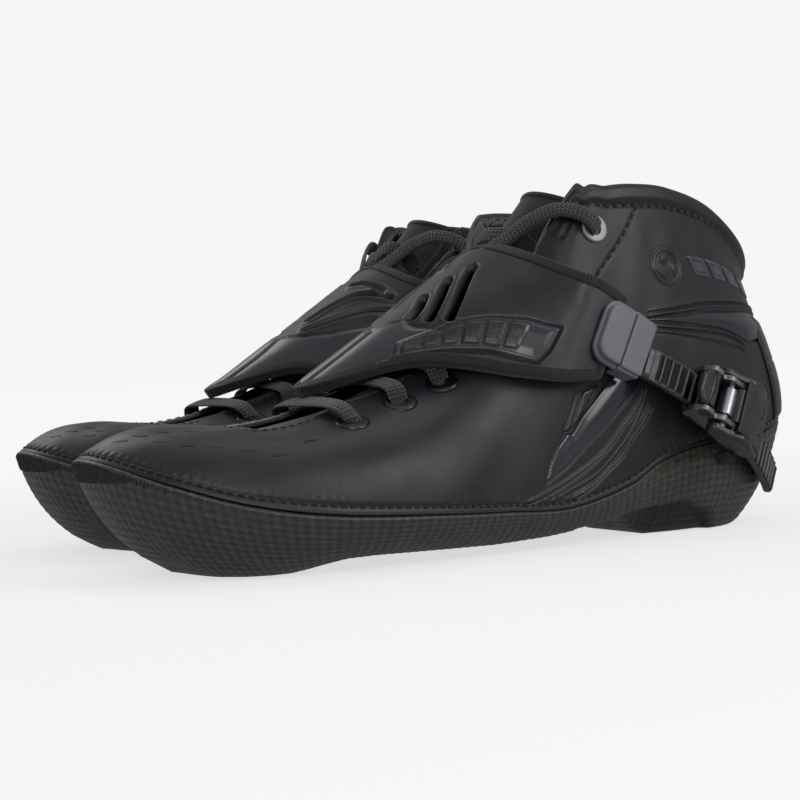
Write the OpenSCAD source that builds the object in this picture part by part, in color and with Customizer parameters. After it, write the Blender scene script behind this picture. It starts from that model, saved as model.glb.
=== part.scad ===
// A pair of low-cut speed-skating boots on carbon bases.
// Millimetres. +Z is up, the mounting blocks stand on z = 0 and the toes point to -Y.
// The origin is the mouth of the left boot's front insert. Each boot is drawn as a left boot
// about the floor point midway between its two inserts, with +X on its outer side. The right
// boot is its mirror image.

/* [Pair] */
// Distance between the centre lines of the two boots
pair_gap = 102; // [98:1:180]
// How far the right boot stands back
right_setback = 9; // [0:1:60]

/* [Mounting] */
// Distance between the front and heel inserts
insert_spacing = 195; // [193:0.5:197]
// Wall radius of the M6 thread
thread_r = 2.5; // [2.4:0.05:2.7]
// Length of each insert
insert_l = 8; // [6:0.5:8]
// Outer radius of each insert
insert_r = 5; // [4.5:0.1:6]

/* [Boot walls] */
// Thickness of the outer skin
skin_t = 2.2; // [1.6:0.1:2.6]
// Thickness of the padded lining
lining_t = 3; // [2:0.1:3.4]
// Thickness of the carbon wall
carbon_t = 2.4; // [1.8:0.1:3]
// Thickness of the leather where it is skived at the rim
rim_t = 0.9; // [0.6:0.1:1.2]
// Air between neighbouring soft layers
layer_gap = 0.5; // [0.4:0.05:0.6]

/* [Ladder and buckle] */
// Radius of the arc that the ladder follows around the heel
arc_r = 108; // [107:0.5:110]
// Width of the ladder
ladder_w = 13.6; // [13:0.1:14]
// Thickness of the ladder without its teeth
ladder_t = 2.2; // [1.8:0.1:2.4]
// Height of a tooth
tooth_h = 0.8; // [0.6:0.05:0.8]
// Distance from tooth to tooth
tooth_pitch = 3.6; // [3.4:0.1:4]
// Radius of the lever pin
lever_pin_r = 1.5; // [1.4:0.05:1.6]
// Radius of the two pawl pins
pawl_pin_r = 1.1; // [1:0.05:1.2]
// Running clearance on every pin
run_gap = 0.05; // [0.03:0.01:0.08]

/* [Hidden] */
EPS = 0.01;
$fn = 48;

// Stations of the boot form: heel back, outer side, toe tip, inner side.
// rim x y z, top edge x y z, lower and upper swell of the skin, base edge x y, swell of the side
FORM = [
  [  0,  144, 42,    0, 138, 104,  1.5, -3,   0, 123, 3],
  [ 22,  136, 40,   15, 125, 113,  2.5, -2,  13, 118, 3],
  [ 34,  114, 35,   24, 101, 126,  3,    0,  23, 104, 4],
  [ 38,   84, 33,   28,  78, 132,  3,    2,  26,  83, 3.5],
  [ 38.5, 63, 28,   29,  62, 133,  3,    3,  25,  65, 3],
  [ 39.5, 46, 20,   29,  49, 132,  3,    3,  29,  50, 3],
  [ 42,   18, 14,   28,  36, 129,  4,    4,  29,  18, 2.5],
  [ 46,  -12, 15,   19,  13,  98,  6,    6,  28, -12, 3],
  [ 50,  -42, 16.5, 14, -12,  75,  9,    5,  27, -42, 3.5],
  [ 50,  -78, 19,   13, -40,  62, 10,    4,  27, -70, 4],
  [ 44, -107, 24,   12, -60,  56,  9,  3.5,  27, -90, 4],
  [ 31, -130, 32,    9, -74,  52,  8,  3.5,  21,-108, 5],
  [ 13, -143, 38.5,  4, -80,  50,  7,  3.3,   8,-115, 5.5],
  [ -4, -147, 40.5,  0, -81, 49.5, 7,  3.3,  -4,-116, 5.5],
  [-20, -143, 38.5, -4, -80,  50,  7,  3.3, -14,-113, 5.5],
  [-35, -129, 33,   -9, -74,  52,  8,  3.5, -23,-106, 5],
  [-44, -105, 25.5,-12, -60,  56,  9,  3.5, -27, -90, 4],
  [-46,  -75, 20.5,-13, -40,  62,  9,    4, -27, -70, 4],
  [-42,  -42, 18,  -14, -12,  75,  8,    5, -25, -42, 3.5],
  [-38,  -12, 18,  -19,  13,  98,  6,    6, -24, -12, 3],
  [-36,   18, 20,  -28,  36, 129,  4,    4, -24,  18, 3],
  [-36,   46, 24,  -29,  49, 132,  3,    3, -25,  50, 3],
  [-36,   63, 29,  -29,  62, 133,  3,    3, -24,  65, 3],
  [-36,   84, 33,  -28,  78, 132,  3,    2, -25,  83, 3.5],
  [-32,  114, 35,  -24, 101, 126,  3,    0, -22, 104, 4],
  [-21,  136, 40,  -15, 125, 113,  2.5, -2, -12, 118, 3]
];
STATIONS = len(FORM);
TOE = STATIONS/2;
COLUMNS = 2*STATIONS;
// Height of the underside along the boot: both blocks stand on the floor, the waist is raised
BASE_Z = [[-200, 0], [-85, 0], [-66, 4], [-9, 3], [14, 4], [40, 6.5], [53, 8], [66, 0], [200, 0]];

// Ladder frame: foot of the arc beside the heel, with its turn about X, Y and Z
ARC_AT = [46, 96.5, 38.5];
ARC_TURN = [-34.5, -4, 18];
// Clamp frame at the ladder's front end
CLAMP_AT = [46, 47.5, 69.5];
CLAMP_TURN = [-29.5, -7, -0.5];
// Where the strap ends in the clamp's frame
strap_end_u = -10.5;
// Outer face of the instep strap, inner side to outer side, each from front to back edge
STRAP = [
  [[-44,   8, 38], [-44,  21, 45], [-43,  34, 52]],
  [[-39, -14, 61], [-39,   5, 77], [-36.5, 22, 95]],
  [[-22, -38, 70], [-24, -11, 89], [-22,  13, 107]],
  [[  0, -67, 62], [  0, -26, 88], [  0,  11, 112]],
  [[ 22, -33, 70], [ 25,  -9, 89], [ 23,  14, 107]],
  [[ 42.4, -2.5, 64.5], [42, 13, 83], [ 40, 25,  98.5]],
  [in_clamp([-26, -23.5, 0.2]), in_clamp([-25, 0, 0.2]), in_clamp([-25, 15.5, 0.2])],
  [in_clamp([strap_end_u, -15, 0.1]), in_clamp([strap_end_u, 0, 0.1]), in_clamp([strap_end_u, 15, 0.1])]
];
strap_t = 3.2;
// Height of the leather's lower edge above the carbon rim
rim_gap = 1.6;

// Arc lengths of the ladder's front end, the buckle and the ladder's round tail
front_s = -57;
buckle_s = -19;
tail_s = 34;
bar_top = -tooth_h;
bar_bottom = -tooth_h - ladder_t;

// Buckle section: u along the ladder to its tail, n outwards from the tops of the teeth
channel_l = 24;
channel_in = ladder_w/2 + 0.6;
cheek_t = 2.2;
cheek_out = channel_in + cheek_t;
floor_top = bar_bottom - 0.7;
floor_t = 1.8;
boss_h = 2.8;
// Depth of the nut's flange inside the boot
nut_depth = 13.9;
arm_in = cheek_out + 0.3;
arm_t = 2;
arm_out = arm_in + arm_t;
LEVER_PIN = [1, 4.2];
DRIVE_PIN = [5.6, 5.4];
LOCK_PIN = [-8.5, 3.6];
pawl_w = 2*channel_in - 1;
coil_w = 4.4;
coil_pocket_r = 2.2;
rivet_r = 2.4;

BOOT_NODES = ["carbon_shell", "front_insert", "heel_insert", "upper", "lining", "heel_counter",
  "toe_bumper", "footbed", "tongue", "lace", "eyelets", "top_eyelets", "strap_pad",
  "strap_binding", "strap_anchor", "clamp_cover", "clamp_base", "clamp_screws", "ladder",
  "buckle_base", "buckle_screw", "buckle_nut", "lever", "lever_pin", "drive_pawl",
  "drive_pawl_pin", "drive_spring", "lock_pawl", "lock_pawl_pin", "lock_spring"];

// ---- frames ----

function turn_x(v, a) = [v[0], v[1]*cos(a) - v[2]*sin(a), v[1]*sin(a) + v[2]*cos(a)];
function turn_y(v, a) = [v[0]*cos(a) + v[2]*sin(a), v[1], v[2]*cos(a) - v[0]*sin(a)];
function turn_z(v, a) = [v[0]*cos(a) - v[1]*sin(a), v[0]*sin(a) + v[1]*cos(a), v[2]];

// Point in the boot's frame of a point in the clamp's frame
function in_clamp(p) =
  CLAMP_AT + turn_z(turn_y(turn_x([p[2], p[0], p[1]], CLAMP_TURN[0]), CLAMP_TURN[1]), CLAMP_TURN[2]);

// ---- curves and surfaces ----

function unit(v) = v/max(norm(v), EPS*EPS);

function spline(a, b, c, d, f) =
  0.5*(2*b + (c - a)*f + (2*a - 5*b + 4*c - d)*f*f + (3*b - a - 3*c + d)*f*f*f);

// Closed spline through the stations
function form_row(t) =
  let (n = STATIONS, w = (t + n) % n, i = floor(w), f = w - i)
  spline(FORM[(i + n - 1) % n], FORM[i], FORM[(i + 1) % n], FORM[(i + 2) % n], f);

function part3(v, k) = [v[k], v[k + 1], v[k + 2]];

// Normal of a chord in its own upright plane, pointing outwards and up
function chord_normal(c) =
  let (h = max(norm([c[0], c[1]]), EPS), l = norm(c))
  [-c[0]/h*c[2]/l, -c[1]/h*c[2]/l, h/l];

// Cubic through four points at v = 0, 0.3, 0.7 and 1
function cubic(r, a, b, t, v) =
  r*((v - 0.3)*(v - 0.7)*(v - 1)/-0.21)
  + a*(v*(v - 0.7)*(v - 1)/0.084)
  + b*(v*(v - 0.3)*(v - 1)/-0.084)
  + t*(v*(v - 0.3)*(v - 0.7)/0.21);

// Outer face of the skin: t runs around the boot, v from the rim to the top edge
function skin(t, v) =
  let (q = form_row(t), r = part3(q, 0), p = part3(q, 3), c = p - r, n = chord_normal(c))
  cubic(r, r + 0.3*c + q[6]*n, r + 0.7*c + q[7]*n, p, v);

// Outer face of the carbon side: w = 0 at the base edge, 1 at the rim
function side(t, w) =
  let (q = form_row(t), r = part3(q, 0), b = [q[8], q[9], lookup(q[9], BASE_Z)],
       n = chord_normal(r - b))
  b + (r - b)*w - n*q[10]*4*w*(1 - w);

function skin_normal(t, v) =
  unit(cross(skin(t, v + EPS) - skin(t, v - EPS), skin(t + EPS, v) - skin(t - EPS, v)));

function side_normal(t, w) =
  unit(cross(side(t, w + EPS) - side(t, w - EPS), side(t + EPS, w) - side(t - EPS, w)));

function skin_at(t, v, off) = skin(t, v) + skin_normal(t, v)*off;
function side_at(t, w, off) = side(t, w) + side_normal(t, w)*off;

// Open spline through a list of points, u from 0 to 1
function along(p, u) =
  let (n = len(p) - 1, x = u*n, i = min(max(floor(x), 0), n - 1), f = x - i,
       a = i > 0 ? p[i - 1] : 2*p[0] - p[1],
       d = i < n - 1 ? p[i + 2] : 2*p[n] - p[n - 1])
  spline(a, p[i], p[i + 1], d, f);

// Outer face of the strap: s across the instep, w from its front edge to its back edge
function strap(s, w) = along([for (r = STRAP) along(r, w)], s);

function strap_normal(s, w) =
  unit(cross(strap(s + EPS, w) - strap(s - EPS, w), strap(s, w + EPS) - strap(s, w - EPS)));

function strap_at(s, w, off) = strap(s, w) + strap_normal(s, w)*off;

// ---- solids from grids of points ----

function tri(a, b, c) = a == b || b == c || a == c ? [] : [[a, b, c]];
function quad(a, b, c, d) = concat(tri(a, b, c), tri(a, c, d));
function joined(lists) = [for (l = lists) for (x = l) x];

function skin_faces(rows, cols, wrap, o) =
  let (last = wrap ? cols - 1 : cols - 2)
  joined([for (i = [0:rows - 2]) for (j = [0:last])
    let (k = (j + 1) % cols)
    quad(o + i*cols + j, o + i*cols + k, o + (i + 1)*cols + k, o + (i + 1)*cols + j)]);

function flipped(faces) = [for (f = faces) [f[2], f[1], f[0]]];

// Closed solid between an outer and an inner grid
module slab(outer, inner, wrap = false) {
  rows = len(outer);
  cols = len(outer[0]);
  o = rows*cols;
  top = (rows - 1)*cols;
  last = wrap ? cols - 1 : cols - 2;
  bottom_edge = joined([for (j = [0:last]) let (k = (j + 1) % cols) quad(k, j, o + j, o + k)]);
  top_edge = joined([for (j = [0:last]) let (k = (j + 1) % cols)
    quad(top + j, top + k, o + top + k, o + top + j)]);
  ends = wrap ? [] : joined([for (i = [0:rows - 2])
    let (a = i*cols, b = a + cols, c = a + cols - 1, d = b + cols - 1)
    concat(quad(a, b, o + b, o + a), quad(d, c, o + c, o + d))]);
  polyhedron(joined(concat(outer, inner)),
    concat(skin_faces(rows, cols, wrap, 0), flipped(skin_faces(rows, cols, wrap, o)),
      bottom_edge, top_edge, ends));
}

// Closed tub: its first rows are bridged from side to side, as an outer bottom and a floor
module tub(outer, inner) {
  rows = len(outer);
  cols = len(outer[0]);
  o = rows*cols;
  top = (rows - 1)*cols;
  half = cols/2;
  function across(j) = [j, j + 1, (2*half - j - 1) % cols, (2*half - j) % cols];
  bottom = joined([for (j = [0:half - 1]) let (q = across(j)) quad(q[1], q[0], q[3], q[2])]);
  floor_in = joined([for (j = [0:half - 1]) let (q = across(j))
    quad(o + q[0], o + q[1], o + q[2], o + q[3])]);
  top_edge = joined([for (j = [0:cols - 1]) let (k = (j + 1) % cols)
    quad(top + j, top + k, o + top + k, o + top + j)]);
  polyhedron(joined(concat(outer, inner)),
    concat(skin_faces(rows, cols, true, 0), flipped(skin_faces(rows, cols, true, o)),
      bottom, floor_in, top_edge));
}

// Flat band of the given width and thickness along a path, lying on the surface normals
module band(path, normals, width, thick) {
  n = len(path);
  function dir(i) = unit(path[min(i + 1, n - 1)] - path[max(i - 1, 0)]);
  function across(i) = unit(cross(dir(i), normals[i]));
  outer = [for (k = [1, -1]) [for (i = [0:n - 1])
    path[i] + across(i)*k*width/2 + normals[i]*thick/2]];
  inner = [for (k = [1, -1]) [for (i = [0:n - 1])
    path[i] + across(i)*k*width/2 - normals[i]*thick/2]];
  slab(flip_rows(outer), flip_rows(inner));
}

function flip_rows(g) = [for (i = [len(g) - 1:-1:0]) g[i]];

function steps(a, b, n) = [for (i = [0:n]) a + (b - a)*i/n];

// ---- placing ----

// Puts children at a point with +Z along a direction
module aim(p, n) {
  translate(p) rotate([0, acos(n[2]), atan2(n[1], n[0])]) children();
}

module on_skin(t, v, off = 0) {
  aim(skin_at(t, v, off), skin_normal(t, v)) children();
}

// Ladder frame at arc length s: X along the ladder to its tail, Y across it, Z outwards
module on_arc(s) {
  translate(ARC_AT) rotate(ARC_TURN) rotate([90, 0, 90])
    translate([0, 0, -arc_r]) rotate([0, s/arc_r*180/PI, 0]) translate([0, 0, arc_r])
      children();
}

// Clamp frame, with the same axes as the ladder frame
module on_clamp() {
  translate(CLAMP_AT) rotate(CLAMP_TURN) rotate([90, 0, 90]) children();
}

// Bar that follows the arc
module arc_bar(s0, s1, n0, n1, w) {
  a0 = s0/arc_r*180/PI;
  a1 = s1/arc_r*180/PI;
  on_arc(0) translate([0, 0, -arc_r]) rotate([90, 0, 0]) rotate([0, 0, 90 - a1])
    rotate_extrude(angle = a1 - a0, $fn = 180)
      translate([arc_r + n0, -w/2]) square([n1 - n0, w]);
}

// Plate with round corners, centred on X and Y
module plate(l, w, h, r) {
  linear_extrude(h) {
    square([l - 2*r, w], center = true);
    square([l, w - 2*r], center = true);
    for (x = [-1, 1]) for (y = [-1, 1])
      translate([x*(l/2 - r), y*(w/2 - r)]) circle(r);
  }
}

// Cylinder across the ladder, from -w/2 to w/2
module cross_pin(at, r, w) {
  translate([at[0], w/2, at[1]]) rotate([90, 0, 0]) cylinder(r = r, h = w);
}

// Side profile in the u-n plane, extruded across the ladder from y0 to y1
module profile(y0, y1) {
  translate([0, y1, 0]) rotate([90, 0, 0]) linear_extrude(y1 - y0) children();
}

module both_sides() {
  children();
  mirror([0, 1, 0]) children();
}

// ---- boot base ----

module insert_at(sign) {
  translate([0, sign*insert_spacing/2, 0]) children();
}

module carbon_shell() {
  ts = steps(0, STATIONS - STATIONS/COLUMNS, COLUMNS - 1);
  // The inner wall runs from the rim down to the inside floor
  floor_w = 0.45;
  pocket_r = insert_r + run_gap;
  color([0.17, 0.17, 0.17]) difference() {
    tub([for (w = [0, 0.25, 0.5, 0.75, 1]) [for (t = ts) side(t, w)]],
        [for (w = steps(floor_w, 1, 4)) [for (t = ts) side_at(t, w, -carbon_t)]]);
    for (sign = [-1, 1]) insert_at(sign) translate([0, 0, -1])
      cylinder(r = pocket_r, h = insert_l + 1.1);
  }
}

module insert() {
  color("silver") difference() {
    cylinder(r = insert_r, h = insert_l);
    translate([0, 0, -1]) cylinder(r = thread_r, h = insert_l + 2);
  }
}

module footbed() {
  lift = 0.5;
  thick = 3;
  half = [for (t = steps(0.6, TOE - 0.6, 16)) t];
  function edge(t, k, z) =
    let (a = side_at(t, 0.45, -carbon_t - 1), b = side_at(STATIONS - t, 0.45, -carbon_t - 1))
    a + (b - a)*k + [0, 0, z];
  function sheet(z) = [for (k = [0.97, 0.5, 0.03]) [for (t = flip_rows(half)) edge(t, k, z)]];
  color([0.1, 0.1, 0.1]) slab(sheet(lift + thick), sheet(lift));
}

// ---- soft boot ----

// Height on the skin, k = 0 just above the carbon edge and 1 at the top
function above_rim(t, k, top = 1) =
  let (low = rim_gap/norm(skin(t, 1) - skin(t, 0)))
  low + (top - low)*k;

// The throat is cut lower at its front, on both sides of the tongue
function throat_cut(t) =
  let (d = abs(abs(t - TOE) - 2.3))
  d < 0.9 ? 0.4*pow(cos(d*100), 2) : 0;

module upper() {
  ts = steps(0, STATIONS - STATIONS/COLUMNS, COLUMNS - 1);
  function grid(rim, off) = [for (k = steps(0, 1, 5)) [for (t = ts)
    skin_at(t, above_rim(t, k, 1 - throat_cut(t)), k == 0 ? rim : off)]];
  color([0.12, 0.12, 0.13]) difference() {
    slab(grid(0, 0), grid(-rim_t, -skin_t), wrap = true);
    lower_eyelet_places() cylinder(r = 3, h = 12, center = true);
    top_eyelet_places() cylinder(r = 3, h = 12, center = true);
    on_arc(buckle_s) translate([0, 0, -30]) cylinder(r = 2.8, h = 30);
  }
}

module lining() {
  ts = steps(-5.5, 5.5, 22);
  outer = -skin_t - layer_gap;
  function grid(off) = [for (k = [0.08, 0.2, 0.4, 0.6, 0.8, 0.95]) [for (t = ts)
    skin_at(t, above_rim(t, k), off)]];
  color([0.05, 0.05, 0.05]) difference() {
    slab(grid(outer), grid(outer - lining_t));
    top_eyelet_places() cylinder(r = 3.6, h = 16, center = true);
    on_arc(buckle_s) translate([0, 0, -30]) cylinder(r = 2.8, h = 30);
  }
}

module heel_counter() {
  ts = steps(-1.9, 1.5, 12);
  function grid(off) = [for (v = steps(0.04, 0.55, 4)) [for (t = ts) skin_at(t, v, off)]];
  color([0.06, 0.06, 0.07]) slab(grid(1.7), grid(layer_gap));
}

module toe_bumper() {
  reach = 1.1;
  ts = steps(TOE - reach, TOE + reach, 10);
  // The patch is tallest at the tip of the toe
  function low(t) = 0.86 + 0.08*pow(abs(t - TOE)/reach, 2);
  function grid(off) = [for (k = steps(0, 1, 2)) [for (t = ts)
    side_at(t, low(t) + (0.985 - low(t))*k, off)]];
  color([0.04, 0.04, 0.04]) slab(grid(1.4), grid(layer_gap));
}

TONGUE = [[-84, 42.5, 9], [-66, 47, 12], [-46, 52.5, 14], [-26, 62.5, 15], [-8, 77, 16],
  [8, 96, 17], [20, 115, 18], [29, 131, 18]];

module tongue() {
  thick = 4;
  sag = 5;
  function spine(u) = along(TONGUE, u);
  function slope(u) = unit(spine(min(u + EPS, 1)) - spine(max(u - EPS, 0)));
  function point(u, k, off) =
    let (p = spine(u), d = slope(u), h = unit([-d[1], d[0]]))
    [k*p[2], p[0] + h[0]*(off - sag*k*k), p[1] + h[1]*(off - sag*k*k)];
  function grid(off) = [for (k = steps(-1, 1, 6)) [for (u = steps(0, 1, 12)) point(u, k, off)]];
  color([0.09, 0.09, 0.09]) slab(grid(0), grid(-thick));
}

LOWER_EYELETS = [[9.18, 0.61], [8.61, 0.71], [8.08, 0.74]];
TOP_EYELET = [5.52, 0.85];

// Air between the skin and the rim of an eyelet
eyelet_lift = 0.7;

module lower_eyelet_places(off = 0) {
  for (e = LOWER_EYELETS) {
    on_skin(e[0], e[1], off) children();
    on_skin(STATIONS - e[0], e[1], off) children();
  }
}

module top_eyelet_places(off = 0) {
  on_skin(TOP_EYELET[0], TOP_EYELET[1], off) children();
  on_skin(STATIONS - TOP_EYELET[0], TOP_EYELET[1], off) children();
}

// Ring with a barrel down through the skin
module eyelet(r, hole) {
  rotate_extrude() {
    translate([hole, 0.5]) square([r - hole - 0.5, 0.9]);
    translate([r - 0.5, 0.95]) circle(0.45, $fn = 16);
    translate([hole, -skin_t]) square([0.5, skin_t + 1]);
  }
}

module eyelets() {
  color([0.05, 0.05, 0.05]) lower_eyelet_places(eyelet_lift) eyelet(4.6, 2.2);
}

module top_eyelets() {
  color("silver") top_eyelet_places(eyelet_lift) eyelet(5.6, 2.3);
}

lace_w = 4.4;
lace_t = 1.2;
// Height of a lace's middle above the skin at its inner and outer eyelet
lace_lift_in = 4.8;
lace_lift_out = 3.8;

// Lace bars cross over the tongue from eyelet to eyelet
module lace() {
  function over(a, b, lift) = [for (u = steps(0, 1, 8)) along([a, (a*3 + b)/4 + [0, 0, lift*0.8],
    (a + b)/2 + [0, 0, lift], (a + b*3)/4 + [0, 0, lift*0.8], b], u)];
  color([0.07, 0.07, 0.08]) {
    for (e = LOWER_EYELETS) {
      a = skin_at(STATIONS - e[0], e[1], lace_lift_in);
      b = skin_at(e[0], e[1], lace_lift_out);
      tilt_a = skin_normal(STATIONS - e[0], e[1]);
      tilt_b = skin_normal(e[0], e[1]);
      band(over(a, b, 5), [for (u = steps(0, 1, 8)) unit(tilt_a*(1 - u) + tilt_b*u)],
        lace_w, lace_t);
    }
  }
}

// ---- strap ----

module strap_pad() {
  function grid(off) = [for (s = steps(0, 1, 14)) [for (w = steps(0.03, 0.97, 4))
    strap_at(s, w, off)]];
  color([0.11, 0.11, 0.12]) difference() {
    slab(grid(0), grid(-strap_t));
    anchor_places() cylinder(r = 2.2, h = 20, center = true);
    on_clamp() translate([CLAMP_SCREWS[1], 0, -10]) cylinder(r = screw_r + 0.5, h = 20);
  }
}

module strap_binding() {
  color([0.03, 0.03, 0.03]) for (w = [-0.012, 1.012]) {
    path = [for (s = steps(0.04, 0.84, 14)) strap_at(s, w, -strap_t/2)];
    across = [for (s = steps(0.04, 0.84, 14)) strap_normal(s, w)];
    band(path, across, 1.2, strap_t + 0.4);
  }
}

module anchor_places() {
  for (w = [0.25, 0.75]) aim(strap_at(0.045, w, 0), strap_normal(0.045, w)) children();
}

// Plate on the inner side with two rivets through the strap's end
module strap_anchor() {
  color([0.08, 0.08, 0.09]) {
    anchor_places() translate([0, 0, -strap_t - 0.6]) cylinder(r = 1.8, h = strap_t + 2.4);
    anchor_places() translate([0, 0, 0.5]) cylinder(r = 4, h = 1.4);
  }
}

// ---- clamp: joins the strap's end to the ladder ----

clamp_l = 20;
clamp_w = 23;
clamp_wall = 1.3;
clamp_top = 4.4;
// Underside of the cover's top plate, above the strap's end
clamp_under = 0.9;
clamp_bottom = bar_bottom - 1.6;
screw_r = 1.4;
CLAMP_SCREWS = [-5, -15];

module clamp_box(l, w, z0, z1, r) {
  translate([-clamp_l/2 + 1, 0, z0]) plate(l, w, z1 - z0, r);
}

module clamp_cover() {
  color([0.2, 0.2, 0.22]) on_clamp() difference() {
    clamp_box(clamp_l, clamp_w, clamp_bottom, clamp_top, 5);
    translate([-clamp_l, -clamp_w/2 + clamp_wall, clamp_bottom - 1])
      cube([2*clamp_l, clamp_w - 2*clamp_wall, clamp_under - clamp_bottom + 1]);
    // The front half has no side walls, because the strap's end is wider than the clamp
    translate([-clamp_l, -clamp_w, clamp_bottom - 1])
      cube([clamp_l + strap_end_u + 0.6, 2*clamp_w, clamp_under - clamp_bottom + 1]);
    for (u = CLAMP_SCREWS) translate([u, 0, 0])
      cylinder(r = screw_r + run_gap, h = 3);
  }
}

module clamp_base() {
  w = clamp_w - 2*clamp_wall - 0.4;
  color([0.1, 0.1, 0.1]) on_clamp() difference() {
    clamp_box(clamp_l - 2, w, clamp_bottom, bar_bottom - 0.2, 2);
    for (u = CLAMP_SCREWS) translate([u, 0, -20])
      cylinder(r = screw_r + run_gap, h = 40);
  }
}

module clamp_screws() {
  color([0.4, 0.4, 0.42]) on_clamp() for (u = CLAMP_SCREWS) translate([u, 0, 0]) {
    translate([0, 0, clamp_bottom]) cylinder(r = screw_r, h = 2.6 - clamp_bottom);
    translate([0, 0, clamp_bottom - 0.4]) cylinder(r = 2.4, h = 0.38);
  }
}

// ---- ladder ----

module ladder() {
  color([0.07, 0.07, 0.08]) difference() {
    union() {
      arc_bar(front_s, tail_s, bar_bottom, bar_top, ladder_w);
      on_clamp() translate([-9.5, -ladder_w/2, bar_bottom]) cube([13, ladder_w, ladder_t]);
      on_arc(tail_s) translate([0, 0, bar_bottom]) cylinder(r = ladder_w/2, h = ladder_t);
      for (s = [front_s + 11 : tooth_pitch : tail_s + 4]) on_arc(s)
        translate([-0.7, -ladder_w/2 + 0.5, bar_top - 0.3])
          cube([1.4, ladder_w - 1, tooth_h + 0.3]);
      on_arc(front_s + 5) translate([-1.2, -ladder_w/2, bar_top - 0.3])
        cube([2.6, ladder_w, tooth_h + 0.3]);
    }
    on_clamp() translate([CLAMP_SCREWS[0], 0, bar_bottom - 1])
      cylinder(r = screw_r + 0.1, h = 5);
  }
}

// ---- buckle ----

module buckle_base() {
  color([0.09, 0.09, 0.1]) on_arc(buckle_s) difference() {
    union() {
      translate([0, 0, floor_top - floor_t]) plate(channel_l, 2*cheek_out, floor_t, 3);
      translate([0, 0, floor_top - floor_t - boss_h]) cylinder(r = 6, h = boss_h + 0.1);
      both_sides() profile(channel_in, cheek_out) {
        translate([-channel_l/2 + 2, floor_top - 1]) square([channel_l - 4, 3.4 - floor_top]);
        translate([-channel_l/2 + 2, floor_top + 1]) circle(2);
        translate([channel_l/2 - 2, floor_top + 1]) circle(2);
        translate(LEVER_PIN) circle(3.3);
        translate(LOCK_PIN) circle(2.6);
        translate([LOCK_PIN[0] - 2.6, 0]) square([5.2, LOCK_PIN[1]]);
        translate([LEVER_PIN[0] - 3.3, 0]) square([6.6, LEVER_PIN[1] - 1]);
      }
    }
    cross_pin(LEVER_PIN, lever_pin_r + run_gap, 40);
    cross_pin(LOCK_PIN, pawl_pin_r + run_gap, 40);
    translate([0, 0, floor_top - 1.2]) cylinder(r = 3.6, h = 5);
    translate([0, 0, -30]) cylinder(r = 2.1, h = 30);
  }
}

module buckle_screw() {
  color([0.45, 0.45, 0.47]) on_arc(buckle_s) difference() {
    union() {
      translate([0, 0, floor_top - 1.15]) cylinder(r = 3.4, h = 0.95);
      translate([0, 0, floor_top - nut_depth - 0.6]) cylinder(r = 1.9, h = nut_depth);
    }
    translate([0, 0, floor_top - 0.7]) cylinder(r = 1.3, h = 1, $fn = 6);
  }
}

// Flanged nut inside the boot
module buckle_nut() {
  color([0.45, 0.45, 0.47]) on_arc(buckle_s) translate([0, 0, floor_top - nut_depth - 1.1]) difference() {
    union() {
      cylinder(r = 6, h = 1.1);
      cylinder(r = 2.6, h = 5);
    }
    translate([0, 0, -1]) cylinder(r = 2, h = 8);
  }
}

module lever() {
  handle_u = 18;
  color([0.08, 0.08, 0.09]) on_arc(buckle_s) difference() {
    union() {
      both_sides() profile(arm_in, arm_out) difference() {
        union() {
          translate(LEVER_PIN) circle(3.4);
          translate([LEVER_PIN[0], LEVER_PIN[1] - 2]) square([handle_u - 3, 5.4]);
          translate([handle_u - 2, LEVER_PIN[1] + 0.7]) circle(2.7);
        }
        translate([9.5, LEVER_PIN[1] - 0.2]) square([4, 1.8]);
      }
      profile(-arm_out, arm_out) {
        translate([13.2, 4.9]) square([handle_u - 15.2, 2.7]);
        translate([handle_u - 2, LEVER_PIN[1] + 0.7]) circle(2.7);
      }
    }
    cross_pin(LEVER_PIN, lever_pin_r + run_gap, 40);
    cross_pin(DRIVE_PIN, pawl_pin_r + run_gap, 40);
  }
}

module lever_pin() {
  color("silver") on_arc(buckle_s) {
    cross_pin(LEVER_PIN, lever_pin_r, 2*arm_out + 0.8);
    both_sides() translate([LEVER_PIN[0], arm_out + 1.4, LEVER_PIN[1]]) rotate([90, 0, 0])
      cylinder(r = rivet_r, h = 1.2);
  }
}

// Pawl between the cheeks: a boss on its pin, a nose towards the teeth
module pawl(pin, nose, boss_r) {
  difference() {
    profile(-pawl_w/2, pawl_w/2) {
      translate(pin) circle(boss_r);
      polygon([pin + [-boss_r*0.6, -boss_r*0.8], nose + [-0.9, 0], nose, nose + [0.9, 1.4],
        pin + [boss_r*0.8, boss_r*0.6]]);
      children();
    }
    cross_pin(pin, pawl_pin_r + run_gap, 40);
    // Pocket for the torsion coil
    cross_pin(pin, coil_pocket_r, coil_w);
  }
}

module drive_pawl() {
  color([0.62, 0.62, 0.64]) on_arc(buckle_s) pawl(DRIVE_PIN, [8.8, 0.3], 3);
}

module drive_pawl_pin() {
  color("silver") on_arc(buckle_s) cross_pin(DRIVE_PIN, pawl_pin_r, 2*arm_out);
}

module lock_pawl() {
  color([0.12, 0.12, 0.13]) on_arc(buckle_s) pawl(LOCK_PIN, [-5, 0.3], 2.9) {
    translate([-14.5, LOCK_PIN[1] + 0.4]) square([6, 1.6]);
    translate([-14.5, LOCK_PIN[1] + 1.2]) circle(0.8);
  }
}

module lock_pawl_pin() {
  color("silver") on_arc(buckle_s) cross_pin(LOCK_PIN, pawl_pin_r, 2*cheek_out - 0.2);
}

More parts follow.
